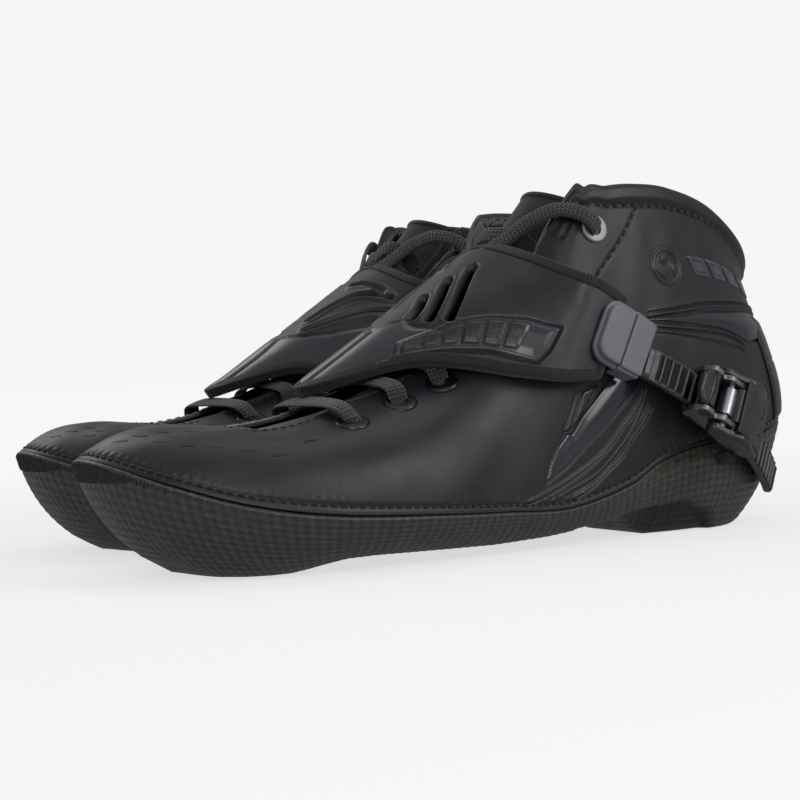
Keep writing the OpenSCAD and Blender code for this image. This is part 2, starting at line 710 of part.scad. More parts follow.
// Torsion coil around a pawl pin
module coil(at) {
  turns = 3;
  seg = 12;
  ring = 6;
  wire = 0.3;
  mean = 1.75;
  rise = coil_w - 1.4;
  n = turns*seg;
  function centre(i) = [at[0] + mean*cos(360*i/seg), -rise/2 + rise*i/n, at[1] + mean*sin(360*i/seg)];
  function rim(i, k) =
    let (out = [cos(360*i/seg), 0, sin(360*i/seg)])
    centre(i) + wire*(out*cos(360*k/ring) + [0, 1, 0]*sin(360*k/ring));
  points = [for (i = [0:n]) for (k = [0:ring - 1]) rim(i, k)];
  walls = joined([for (i = [0:n - 1]) for (k = [0:ring - 1]) let (m = (k + 1) % ring)
    quad(i*ring + k, i*ring + m, (i + 1)*ring + m, (i + 1)*ring + k)]);
  caps = [[for (k = [ring - 1:-1:0]) k], [for (k = [0:ring - 1]) n*ring + k]];
  polyhedron(points, concat(walls, caps));
}

module drive_spring() {
  color("silver") on_arc(buckle_s) coil(DRIVE_PIN);
}

module lock_spring() {
  color("silver") on_arc(buckle_s) coil(LOCK_PIN);
}

// ---- the pair ----

module left() {
  translate([0, insert_spacing/2, 0]) children();
}

module right() {
  translate([-pair_gap, insert_spacing/2 + right_setback, 0]) mirror([1, 0, 0]) children();
}

module piece(name) {
  if (name == "carbon_shell") carbon_shell();
  if (name == "front_insert") insert_at(-1) insert();
  if (name == "heel_insert") insert_at(1) insert();
  if (name == "upper") upper();
  if (name == "lining") lining();
  if (name == "heel_counter") heel_counter();
  if (name == "toe_bumper") toe_bumper();
  if (name == "footbed") footbed();
  if (name == "tongue") tongue();
  if (name == "lace") lace();
  if (name == "eyelets") eyelets();
  if (name == "top_eyelets") top_eyelets();
  if (name == "strap_pad") strap_pad();
  if (name == "strap_binding") strap_binding();
  if (name == "strap_anchor") strap_anchor();
  if (name == "clamp_cover") clamp_cover();
  if (name == "clamp_base") clamp_base();
  if (name == "clamp_screws") clamp_screws();
  if (name == "ladder") ladder();
  if (name == "buckle_base") buckle_base();
  if (name == "buckle_screw") buckle_screw();
  if (name == "buckle_nut") buckle_nut();
  if (name == "lever") lever();
  if (name == "lever_pin") lever_pin();
  if (name == "drive_pawl") drive_pawl();
  if (name == "drive_pawl_pin") drive_pawl_pin();
  if (name == "drive_spring") drive_spring();
  if (name == "lock_pawl") lock_pawl();
  if (name == "lock_pawl_pin") lock_pawl_pin();
  if (name == "lock_spring") lock_spring();
}

for (n = BOOT_NODES) {
  left() piece(n);
  right() piece(n);
}
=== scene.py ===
"""Looks for a pair of low-cut speed-skating boots on carbon bases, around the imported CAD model."""
import math

import bpy
import bmesh
import numpy as np
from mathutils import Matrix, Vector


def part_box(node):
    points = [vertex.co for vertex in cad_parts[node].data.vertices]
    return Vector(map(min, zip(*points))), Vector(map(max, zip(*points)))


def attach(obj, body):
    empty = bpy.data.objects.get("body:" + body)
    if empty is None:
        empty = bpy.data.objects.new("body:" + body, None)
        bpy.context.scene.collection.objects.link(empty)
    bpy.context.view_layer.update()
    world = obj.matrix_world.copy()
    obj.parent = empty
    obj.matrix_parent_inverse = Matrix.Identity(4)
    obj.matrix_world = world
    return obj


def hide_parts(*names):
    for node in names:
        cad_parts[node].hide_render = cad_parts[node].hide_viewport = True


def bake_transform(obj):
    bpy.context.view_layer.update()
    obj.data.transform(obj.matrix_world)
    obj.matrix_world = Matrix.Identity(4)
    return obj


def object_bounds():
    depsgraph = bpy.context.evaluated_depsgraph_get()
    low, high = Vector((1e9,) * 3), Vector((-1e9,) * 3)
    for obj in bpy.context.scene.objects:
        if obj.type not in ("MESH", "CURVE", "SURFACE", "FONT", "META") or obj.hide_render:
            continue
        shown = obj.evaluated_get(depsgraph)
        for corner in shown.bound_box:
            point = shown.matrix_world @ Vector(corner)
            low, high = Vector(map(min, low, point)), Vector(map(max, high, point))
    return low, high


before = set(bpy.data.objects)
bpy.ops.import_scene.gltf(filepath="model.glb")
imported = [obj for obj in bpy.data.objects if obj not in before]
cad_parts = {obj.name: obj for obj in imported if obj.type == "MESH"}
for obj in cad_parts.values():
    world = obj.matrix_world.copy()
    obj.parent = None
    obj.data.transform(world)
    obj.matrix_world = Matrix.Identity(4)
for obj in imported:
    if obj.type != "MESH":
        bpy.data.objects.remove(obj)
cad_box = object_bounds()

# === The form of one boot, in millimetres: a left boot about the floor point between its two
# inserts, +X on its outer side, toes towards -Y. The right boot is its mirror image.

MM = 0.001

# Stations: heel back, outer side, toe tip, inner side.
# rim x y z, top edge x y z, lower and upper swell of the skin, base edge x y, swell of the side
FORM = np.array([
    (0, 144, 42, 0, 138, 104, 1.5, -3, 0, 123, 3),
    (22, 136, 40, 15, 125, 113, 2.5, -2, 13, 118, 3),
    (34, 114, 35, 24, 101, 126, 3, 0, 23, 104, 4),
    (38, 84, 33, 28, 78, 132, 3, 2, 26, 83, 3.5),
    (38.5, 63, 28, 29, 62, 133, 3, 3, 25, 65, 3),
    (39.5, 46, 20, 29, 49, 132, 3, 3, 29, 50, 3),
    (42, 18, 14, 28, 36, 129, 4, 4, 29, 18, 2.5),
    (46, -12, 15, 19, 13, 98, 6, 6, 28, -12, 3),
    (50, -42, 16.5, 14, -12, 75, 9, 5, 27, -42, 3.5),
    (50, -78, 19, 13, -40, 62, 10, 4, 27, -70, 4),
    (44, -107, 24, 12, -60, 56, 9, 3.5, 27, -90, 4),
    (31, -130, 32, 9, -74, 52, 8, 3.5, 21, -108, 5),
    (13, -143, 38.5, 4, -80, 50, 7, 3.3, 8, -115, 5.5),
    (-4, -147, 40.5, 0, -81, 49.5, 7, 3.3, -4, -116, 5.5),
    (-20, -143, 38.5, -4, -80, 50, 7, 3.3, -14, -113, 5.5),
    (-35, -129, 33, -9, -74, 52, 8, 3.5, -23, -106, 5),
    (-44, -105, 25.5, -12, -60, 56, 9, 3.5, -27, -90, 4),
    (-46, -75, 20.5, -13, -40, 62, 9, 4, -27, -70, 4),
    (-42, -42, 18, -14, -12, 75, 8, 5, -25, -42, 3.5),
    (-38, -12, 18, -19, 13, 98, 6, 6, -24, -12, 3),
    (-36, 18, 20, -28, 36, 129, 4, 4, -24, 18, 3),
    (-36, 46, 24, -29, 49, 132, 3, 3, -25, 50, 3),
    (-36, 63, 29, -29, 62, 133, 3, 3, -24, 65, 3),
    (-36, 84, 33, -28, 78, 132, 3, 2, -25, 83, 3.5),
    (-32, 114, 35, -24, 101, 126, 3, 0, -22, 104, 4),
    (-21, 136, 40, -15, 125, 113, 2.5, -2, -12, 118, 3),
], float)
STATIONS = len(FORM)
TOE = STATIONS / 2
# Height of the underside along the boot
BASE_Y = np.array([-200, -116, -108, -100, -92, -85, -79, -66, -56, -9, 14, 40, 51, 57, 63, 68,
                   200])
BASE_Z = np.array([1.3, 1.3, 0.5, 0.1, 0, 0.25, 1.1, 3.6, 3.9, 3, 4, 6.4, 7.3, 5.9, 2.0, 0, 0])
EPS = 0.01

SKIN_T = 2.2
LINING_T = 3.0
LAYER_GAP = 0.5
CARBON_T = 2.4

# Frames of the ladder's arc and of the clamp, with their turns about X, Y and Z
ARC_AT, ARC_TURN, ARC_R = (46, 96.5, 38.5), (-34.5, -4, 18), 108
CLAMP_AT, CLAMP_TURN = (46, 47.5, 69.5), (-29.5, -7, -0.5)
FRONT_S, BUCKLE_S, TAIL_S = -57, -19, 34
LADDER_W, LADDER_T, TOOTH_H, TOOTH_PITCH = 13.6, 2.2, 0.8, 3.6
STRAP_T = 3.2


def spline(a, b, c, d, f):
    return 0.5 * (2 * b + (c - a) * f + (2 * a - 5 * b + 4 * c - d) * f * f
                  + (3 * b - a - 3 * c + d) * f * f * f)


def unit(v):
    return v / np.maximum(np.linalg.norm(v, axis=-1, keepdims=True), 1e-9)


def form_row(t):
    """Closed spline through the stations."""
    w = np.mod(np.asarray(t, float), STATIONS)
    i = np.floor(w).astype(int)
    f = (w - i)[..., None]
    return spline(FORM[(i - 1) % STATIONS], FORM[i % STATIONS], FORM[(i + 1) % STATIONS],
                  FORM[(i + 2) % STATIONS], f)


def chord_normal(c):
    """Normal of a chord in its own upright plane, pointing outwards and up."""
    h = np.maximum(np.hypot(c[..., 0], c[..., 1]), EPS)
    length = np.linalg.norm(c, axis=-1)
    return np.stack([-c[..., 0] / h * c[..., 2] / length, -c[..., 1] / h * c[..., 2] / length,
                     h / length], -1)


def skin(t, v):
    """Outer face of the leather: t runs around the boot, v from the rim to the top edge."""
    q = form_row(t)
    v = np.asarray(v, float)[..., None]
    r, p = q[..., 0:3], q[..., 3:6]
    c = p - r
    n = chord_normal(c)
    a = r + 0.3 * c + q[..., 6:7] * n
    b = r + 0.7 * c + q[..., 7:8] * n
    return (r * ((v - 0.3) * (v - 0.7) * (v - 1) / -0.21) + a * (v * (v - 0.7) * (v - 1) / 0.084)
            + b * (v * (v - 0.3) * (v - 1) / -0.084) + p * (v * (v - 0.3) * (v - 0.7) / 0.21))


def side(t, w):
    """Outer face of the carbon side: w = 0 at the base edge, 1 at the rim."""
    q = form_row(t)
    w = np.asarray(w, float)[..., None]
    b = np.stack([q[..., 8], q[..., 9], np.interp(q[..., 9], BASE_Y, BASE_Z)], -1)
    c = q[..., 0:3] - b
    return b + c * w - chord_normal(c) * q[..., 10:11] * 4 * w * (1 - w)


def along(points, u):
    """Open spline through a list of points, u from 0 to 1."""
    p = np.asarray(points, float)
    p = np.concatenate([2 * p[:1] - p[1:2], p, 2 * p[-1:] - p[-2:-1]])
    n = len(p) - 3
    x = np.asarray(u, float) * n
    i = np.clip(np.floor(x).astype(int), 0, n - 1)
    f = (x - i)[..., None]
    return spline(p[i], p[i + 1], p[i + 2], p[i + 3], f)


def turned(v, turn):
    """v turned about X, then Y, then Z, in degrees."""
    x, y, z = v[..., 0], v[..., 1], v[..., 2]
    a, b, c = (math.radians(k) for k in turn)
    y, z = y * math.cos(a) - z * math.sin(a), y * math.sin(a) + z * math.cos(a)
    x, z = x * math.cos(b) + z * math.sin(b), z * math.cos(b) - x * math.sin(b)
    x, y = x * math.cos(c) - y * math.sin(c), x * math.sin(c) + y * math.cos(c)
    return np.stack([x, y, z], -1)


def in_clamp(p):
    """Point in the boot's frame of (u along the ladder, w across it, n outwards) at the clamp."""
    p = np.asarray(p, float)
    return np.array(CLAMP_AT) + turned(np.stack([p[..., 2], p[..., 0], p[..., 1]], -1), CLAMP_TURN)


def in_arc(s, p=(0.0, 0.0, 0.0)):
    """Point in the boot's frame of (u, w, n) at arc length s along the ladder."""
    p = np.asarray(p, float)
    s = np.asarray(s, float)
    a = s / ARC_R
    u, n = p[..., 0], p[..., 2] + ARC_R
    uu = u * np.cos(a) + n * np.sin(a)
    nn = n * np.cos(a) - u * np.sin(a) - ARC_R
    w = p[..., 1] + 0 * uu
    return np.array(ARC_AT) + turned(np.stack([nn, uu, w], -1), ARC_TURN)


# Outer face of the instep strap, inner side to outer side, each from front to back edge
STRAP = np.array([
    [(-44, 8, 38), (-44, 21, 45), (-43, 34, 52)],
    [(-39, -14, 61), (-39, 5, 77), (-36.5, 22, 95)],
    [(-22, -38, 70), (-24, -11, 89), (-22, 13, 107)],
    [(0, -67, 62), (0, -26, 88), (0, 11, 112)],
    [(22, -33, 70), (25, -9, 89), (23, 14, 107)],
    [(42.4, -2.5, 64.5), (42, 13, 83), (40, 25, 98.5)],
    [in_clamp((-26, -23.5, 0.2)), in_clamp((-25, 0, 0.2)), in_clamp((-25, 15.5, 0.2))],
    [in_clamp((-10.5, -15, 0.1)), in_clamp((-10.5, 0, 0.1)), in_clamp((-10.5, 15, 0.1))],
], float)


def along_rows(rows, w):
    """Spline along the second axis of a (rows, points, 3) net, one w for each result."""
    return np.stack([along(r, w) for r in rows])


def strap(s, w):
    """Outer face of the strap: s across the instep, w from its front edge to its back edge."""
    s, w = np.broadcast_arrays(np.asarray(s, float), np.asarray(w, float))
    rows = along_rows(STRAP, w.ravel())
    rows = np.concatenate([2 * rows[:1] - rows[1:2], rows, 2 * rows[-1:] - rows[-2:-1]])
    n = len(STRAP) - 1
    x = s.ravel() * n
    i = np.clip(np.floor(x).astype(int), 0, n - 1)
    k = np.arange(len(x))
    f = (x - i)[:, None]
    return spline(rows[i, k], rows[i + 1, k], rows[i + 2, k], rows[i + 3, k],
                  f).reshape(s.shape + (3,))


def normal_of(surface, a, b, flip=1):
    """Unit normal of a surface(a, b) by differences."""
    da = surface(a + EPS, b) - surface(a - EPS, b)
    db = surface(a, b + EPS) - surface(a, b - EPS)
    return unit(np.cross(db, da)) * flip

# === Placing and mesh building


class Boot:
    """One boot of the pair: turns millimetres about the boot's own floor point into row metres."""

    def __init__(self, name, mirror):
        self.name, self.mirror = name, mirror
        mid = [sum(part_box(f"{name}_{end}_insert"), Vector()) / 2 for end in ("front", "heel")]
        self.origin = np.array([mid[0].x, (mid[0].y + mid[1].y) / 2,
                                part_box(f"{name}_heel_insert")[0].z])
        self.scale = np.array([-MM if mirror else MM, MM, MM])

    def place(self, points):
        return self.origin + np.asarray(points, float) * self.scale

    def body(self, part="boot"):
        return f"{self.name}_{part}"


WELD = 0.002   # points closer than this are joined


class Soup:
    """Points, faces, uv (in millimetres) and per-point values of gloss and painted light gathered
    for one piece.
    """

    def __init__(self):
        self.points, self.faces, self.uv, self.values = [], [], [], []
        self.count = 0

    def grid(self, p, wrap_r=False, wrap_c=False, u=None, v=None, value=None, flip=False):
        """Quads over a (rows, columns, 3) net; u and v have one extra row or column if wrapped."""
        rows, cols = p.shape[:2]
        nr, nc = rows if wrap_r else rows - 1, cols if wrap_c else cols - 1
        i, j = (a.ravel() for a in np.meshgrid(np.arange(nr), np.arange(nc), indexing="ij"))
        corners = [(i, j), (i, j + 1), (i + 1, j + 1), (i + 1, j)]
        if flip:
            corners = corners[::-1]
        faces = np.stack([(a % rows) * cols + b % cols for a, b in corners], -1) + self.count
        if u is None:
            self.uv += [[(0.0, 0.0)] * 4] * len(faces)
        else:
            self.uv += np.stack([np.stack([u[a, b], v[a, b]], -1) for a, b in corners], 1).tolist()
        self.faces += faces.tolist()
        self.points.append(p.reshape(-1, 3))
        self.values.append(np.zeros(rows * cols) if value is None else value.ravel())
        self.count += rows * cols

    def tube(self, rings, **kw):
        """Closed rings in a row, with both ends capped."""
        start, (rows, cols) = self.count, rings.shape[:2]
        self.grid(rings, wrap_c=True, **kw)
        for row, order in ((0, 1), (rows - 1, -1)):
            self.faces.append([start + row * cols + k for k in range(cols)][::order])
            self.uv.append([(0.0, 0.0)] * cols)

    def build(self, boot, name, material, attribute=None):
        """Mesh object in the row frame."""
        points = boot.place(np.concatenate(self.points))
        mesh = bpy.data.meshes.new(name)
        faces = [f[::-1] for f in self.faces] if boot.mirror else self.faces
        mesh.from_pydata(points.tolist(), [], faces)
        mesh.materials.append(material)
        mesh.polygons.foreach_set("use_smooth", [True] * len(self.faces))
        layer = mesh.uv_layers.new(name="UVMap")
        uv = [c for f in self.uv for c in (f[::-1] if boot.mirror else f)]
        layer.data.foreach_set("uv", np.array(uv, np.float32).ravel())
        if attribute:
            a = mesh.attributes.new(attribute, "FLOAT", "POINT")
            a.data.foreach_set("value", np.concatenate(self.values).astype(np.float32))
        mesh.update()
        obj = bpy.data.objects.new(name, mesh)
        bpy.context.scene.collection.objects.link(obj)
        bm = bmesh.new()
        bm.from_mesh(mesh)
        bmesh.ops.remove_doubles(bm, verts=bm.verts, dist=WELD * MM)
        bmesh.ops.recalc_face_normals(bm, faces=bm.faces)
        bm.to_mesh(mesh)
        bm.free()
        return obj


def net(a, b):
    return np.meshgrid(np.asarray(a, float), np.asarray(b, float), indexing="ij")


def smooth_step(x):
    x = np.clip(x, 0, 1)
    return x * x * (3 - 2 * x)


def lengths(path):
    """Distance along a polyline up to each of its points."""
    return np.concatenate([[0], np.cumsum(np.linalg.norm(np.diff(path, axis=0), axis=1))])


def tall(surface, t):
    """Height of a band of the boot at stations t, from its lower to its upper edge."""
    return np.linalg.norm(surface(t, 1 + 0 * t) - surface(t, 0 * t), axis=1)


def circle(r, count=40, at=(0, 0)):
    a = np.linspace(0, 2 * np.pi, count, endpoint=False)
    return np.stack([np.cos(a), np.sin(a)], -1) * r + np.array(at)


def band_mask(x, lo, hi, soft):
    """1 between lo and hi, falling to 0 over soft outside."""
    return smooth_step((x - lo) / soft + 1) * smooth_step((hi - x) / soft + 1)


def on_surface(surface, line, count=60):
    """Points of a line given in surface parameters, evenly subdivided, in millimetres."""
    ab = along(line, np.linspace(0, 1, count))
    return surface(ab[:, 0], ab[:, 1])


def distance_to(points, line):
    """Distance from each point to a polyline, and the nearest point's place along it, 0 to 1."""
    shape = points.shape[:-1]
    p = points.reshape(-1, 3)
    lo, hi = line.min(0) - 12, line.max(0) + 12
    near = np.all((p > lo) & (p < hi), 1)
    best = np.full(len(p), 99.0)
    where = np.zeros(len(p))
    q = p[near]
    d2 = np.full(len(q), 1e9)
    s = np.zeros(len(q))
    count = len(line) - 1
    for k in range(count):
        a, ab = line[k], line[k + 1] - line[k]
        f = np.clip(((q - a) @ ab) / max(ab @ ab, 1e-9), 0, 1)
        d = ((q - a - f[:, None] * ab) ** 2).sum(1)
        closer = d < d2
        d2[closer], s[closer] = d[closer], (k + f[closer]) / count
    best[near], where[near] = np.sqrt(d2), s
    return best.reshape(shape), where.reshape(shape)


def inside(a, b, outline):
    """Even-odd test of parameter points against an outline of (a, b) corners."""
    outline = np.asarray(outline, float)
    result = np.zeros(a.shape, bool)
    for (x0, y0), (x1, y1) in zip(outline, np.roll(outline, -1, 0)):
        crosses = (y0 > b) != (y1 > b)
        with np.errstate(divide="ignore", invalid="ignore"):
            x = x0 + (b - y0) * (x1 - x0) / (y1 - y0)
        result ^= crosses & (a < x)
    return result


def patch(points, a, b, surface, outline, soft=1.2):
    """0 outside an outline in surface parameters, 1 inside it, rising over soft millimetres."""
    ring = np.concatenate([outline, outline[:1]])
    dense = np.concatenate([np.linspace(ring[k], ring[k + 1], 9)[:-1] for k in range(len(outline))])
    line = surface(dense[:, 0], dense[:, 1])
    line = np.concatenate([line, line[:1]])
    d, _ = distance_to(points, line)
    signed = np.where(inside(a, b, outline), d, -d)
    return smooth_step(signed / soft), signed


def ridge(d, half_width, height):
    """Round ridge, or a groove if height is negative."""
    return height * np.exp(-((d / half_width) ** 2))


def frames_along(path, normals):
    """Unit tangent, sideways and outward directions at each point of a path."""
    tangent = unit(np.gradient(path, axis=0))
    normals = unit(normals - (normals * tangent).sum(1, keepdims=True) * tangent)
    return tangent, np.cross(tangent, normals), normals


def sweep(soup, path, normals, section, taper=None):
    """Closed section of (sideways, outward) millimetres carried along a path, with capped ends."""
    _, across, up = frames_along(path, normals)
    size = np.ones(len(path)) if taper is None else taper
    p = (path[:, None] + across[:, None] * section[None, :, :1] * size[:, None, None]
         + up[:, None] * section[None, :, 1:] * size[:, None, None])
    u, v = net(lengths(path), lengths(np.concatenate([section, section[:1]])))
    soup.tube(p, u=u, v=v)


def oval(width, height, count=16, power=2.0):
    """Closed superellipse section, anticlockwise seen along the path."""
    a = np.linspace(0, 2 * np.pi, count, endpoint=False)
    c, s = np.cos(a), np.sin(a)
    return np.stack([width / 2 * np.sign(c) * np.abs(c) ** (2 / power),
                     height / 2 * np.sign(s) * np.abs(s) ** (2 / power)], -1)


CAPSULE = ((-0.75, 0.5), (-0.3, 0.92), (0.5, 1.0))   # profile of a rounded end: along and across


def capsule(soup, a, b, radius, sides=8):
    """Small thread stitch: a rounded rod from a to b."""
    d = unit(b - a)
    side_dir = unit(np.cross(d, (0.3, 0.5, 0.81)))
    up = np.cross(d, side_dir)
    rings = [(a + d * (x + 0.75) * radius, r * radius) for x, r in CAPSULE]
    rings += [(b - d * (x + 0.75) * radius, r * radius) for x, r in CAPSULE[::-1]]
    ang = np.linspace(0, 2 * np.pi, sides, endpoint=False)
    ring = np.cos(ang)[:, None] * side_dir + np.sin(ang)[:, None] * up
    soup.tube(np.array([c + ring * r for c, r in rings]), flip=True)


def stitches(soup, line, normals, lift, length=2.2, gap=0.9, radius=0.28):
    """Row of stitches along a polyline lying on a surface."""
    line = line + normals * lift
    s = lengths(line)
    for x in np.arange(0, s[-1] - length, length + gap):
        a, b = (np.array([np.interp(q, s, line[:, k]) for k in range(3)]) for q in (x, x + length))
        capsule(soup, a, b, radius)


def pillow(soup, surface, flip, a, b, top, bottom, edge=1.2, relief=None, value=None):
    """Closed sheet over a surface: faces at top and bottom offsets that meet in a rounded edge.
    relief(points, a, b) is added to the outer face."""
    aa, bb = net(a, b)
    mid, half = (top + bottom) / 2, (top - bottom) / 2
    n = normal_of(surface, aa, bb, flip)
    base = surface(aa, bb)
    step_a = np.linalg.norm(np.diff(base, axis=0), axis=2).mean(1)
    step_b = np.linalg.norm(np.diff(base, axis=1), axis=2).mean(0)
    sa, sb = np.concatenate([[0], np.cumsum(step_a)]), np.concatenate([[0], np.cumsum(step_b)])
    da, db = np.minimum(sa, sa[-1] - sa)[:, None], np.minimum(sb, sb[-1] - sb)[None, :]
    d = np.minimum(da, db) / edge
    rise = np.sqrt(1 - (1 - np.clip(d, 0, 1)) ** 2)
    extra = 0 if relief is None else relief(base, aa, bb) * np.clip(d, 0, 1)
    outer = base + n * (mid + half * rise + extra)[..., None]
    inner = base + n * (mid - half * rise)[..., None]
    u, v = net(sa, sb)
    soup.grid(outer, u=u, v=v, value=value, flip=flip < 0)
    soup.grid(inner, u=u, v=v, value=value, flip=flip > 0)


def edge_steps(lo, hi, step, edge):
    """Even steps from lo to hi with finer ones near both ends, for rounded edges."""
    near = np.array([0, 0.03, 0.12, 0.27, 0.5, 0.75, 1.0]) * edge
    mid = np.linspace(lo + edge, hi - edge, max(int(round((hi - lo - 2 * edge) / step)), 2) + 1)
    return np.concatenate([lo + near[:-1], mid, (hi - near[:-1])[::-1]])



# === Leather upper

# Creases pressed into the quarter and around the heel, in (t, v), with the crest's height
CREASES = [
    ([(6.85, 0.022), (6.33, 0.066), (5.74, 0.113), (5.39, 0.152), (5.07, 0.205), (4.63, 0.255),
      (4.4, 0.3)], 1.0),
    ([(6.1, 0.022), (5.66, 0.052), (5.41, 0.082), (5.14, 0.11), (4.88, 0.155), (4.5, 0.19),
      (4.16, 0.225)], 1.0),
    ([(6.5, 0.018), (6.04, 0.053), (5.62, 0.076), (5.28, 0.116), (4.88, 0.175), (4.42, 0.25)],
     0.35),
    ([(4.3, 0.537), (3.41, 0.531), (2.49, 0.556), (1.5, 0.595), (0.7, 0.615), (0.05, 0.62)], 0.8),
    ([(4.25, 0.518), (3.26, 0.511), (2.52, 0.533), (1.5, 0.572), (0.7, 0.59), (0.05, 0.595)], 0.6),
    ([(4.2, 0.484), (3.48, 0.453), (2.96, 0.437), (2.49, 0.428), (2.19, 0.411), (1.95, 0.372)],
     0.8),
    ([(4.2, 0.467), (3.17, 0.418), (2.68, 0.398), (2.39, 0.388), (2.14, 0.372), (1.98, 0.345)],
     0.6),
]
# Glossy blades, in (t, v), with how far they bulge
BLADES = [
    ([(6.4, 0.1), (6.32, 0.163), (6.22, 0.205), (6.07, 0.236), (5.98, 0.231), (5.81, 0.275),
      (5.62, 0.308), (5.4, 0.35), (5.1, 0.4), (4.6, 0.42), (4.5, 0.36), (4.82, 0.307), (5.12, 0.271),
      (5.46, 0.222), (5.75, 0.185), (6.03, 0.142)], 0.5),
    ([(4.28, 0.512), (3.28, 0.498), (2.23, 0.523), (1.38, 0.563), (0.7, 0.578), (0.3, 0.53),
      (1.2, 0.44), (1.88, 0.405), (2.2, 0.436), (2.46, 0.453), (2.94, 0.463), (3.54, 0.481)], 0.9),
]
SMALL_BLADES = [
    [(6.13, 0.24), (6.03, 0.284), (5.9, 0.35), (5.84, 0.35), (5.93, 0.29), (6.02, 0.245)],
    [(6.0, 0.238), (5.9, 0.29), (5.8, 0.35), (5.5, 0.36), (5.71, 0.303), (5.85, 0.27)],
]
# Ring and slanted blocks on the cuff: centre and radii of the ring, borders of the row of blocks
RING_AT, RING_R = (3.5, 0.685), (6.6, 3.6)
CUFF_BLOCKS_LOW = [(2.8, 0.655), (2.2, 0.66), (1.6, 0.67), (1.0, 0.675)]
CUFF_BLOCKS_HIGH = [(2.9, 0.735), (2.3, 0.74), (1.7, 0.745), (1.1, 0.75)]
CUFF_SEAM = [(6.25, 0.9), (5.9, 0.935), (5.2, 0.93), (4.4, 0.92), (3.6, 0.915), (2.8, 0.915),
             (2.2, 0.92), (1.5, 0.925), (0.8, 0.925), (0, 0.925)]
SEAMS = [
    [(4.05, 0.915), (4.54, 0.842), (4.99, 0.78), (5.39, 0.714), (5.65, 0.66)],
]
# Slots through the toe box, in (t, v)
TOE_SLOTS = [(12.36, 0.165), (12.18, 0.245), (11.55, 0.23), (11.15, 0.25), (10.75, 0.27),
             (10.3, 0.28), (9.88, 0.28), (11.53, 0.31), (11.0, 0.365), (10.5, 0.4), (10.08, 0.43), (9.6, 0.43), (12.0, 0.34),
             (11.55, 0.42), (12.5, 0.27)]

LOWER_EYELETS = [(9.18, 0.61), (8.61, 0.71), (8.08, 0.74)]
TOP_EYELET = (5.52, 0.85)
RIM_GAP, RIM_T = 1.2, 0.9
CUFF_END, CUFF_FADE = 5.9, 0.8


def mirrored(line):
    """The same line on the other side of the boot."""
    return [(STATIONS - t, v) for t, v in line]


def both(lines):
    return [m for line in lines for m in (line, mirrored(line))]


def around_heel(t):
    """How far round from the heel, in stations, whichever side."""
    t = np.mod(t, STATIONS)
    return np.minimum(t, STATIONS - t)


# Rounded front end of the throat: station and share of the skin's height that is cut away
THROAT_AT = [9.75, 10, 10.25, 10.5, 10.75, 11, 11.25, 11.5, 12, 12.5, 13]
THROAT_CUT = [0, 0.047, 0.2, 0.353, 0.397, 0.355, 0.323, 0.298, 0.262, 0.246, 0.244]


def throat_cut(t):
    """How much lower the throat's edge runs at its front and at the cuff's inner front corner."""
    m = np.mod(t, STATIONS)
    corner = 0.13 * band_mask(m, 19.2, 20.6, 0.5) - 0.045 * band_mask(m, 6.1, 6.5, 0.3)
    return np.interp(TOE - np.abs(m - TOE), THROAT_AT, THROAT_CUT) + corner


def crease(p, t, v, line):
    """Distance from a line in millimetres, positive above it, and how far along the line."""
    d, s = distance_to(p, on_surface(skin, line, 80))
    ab = along(line, np.linspace(0, 1, 60))
    ab = ab[np.argsort(ab[:, 0])]
    return d * np.where(v > np.interp(t, ab[:, 0], ab[:, 1]), 1, -1), s


def blocks_relief(p, a, b, surface, low, high, count):
    """Row of slanted blocks between two borders: their height and the grooves around them."""
    h, lines = np.zeros(a.shape), np.zeros(a.shape)
    for k in range(count):
        f = np.array([(k + 0.1) / count, (k + 0.9) / count])
        lo, hi = along(low, f), along(high, f)
        inner, signed = patch(p, a, b, surface, np.array([lo[0], lo[1], hi[1], hi[0]]), 0.4)
        edges = np.maximum(ridge(signed + 0.1, 0.3, 0.4), ridge(signed - 1.7, 0.25, 0.3))
        h += inner * 0.45 - 0.5 * edges
        lines = np.maximum(lines, edges)
    return h, lines


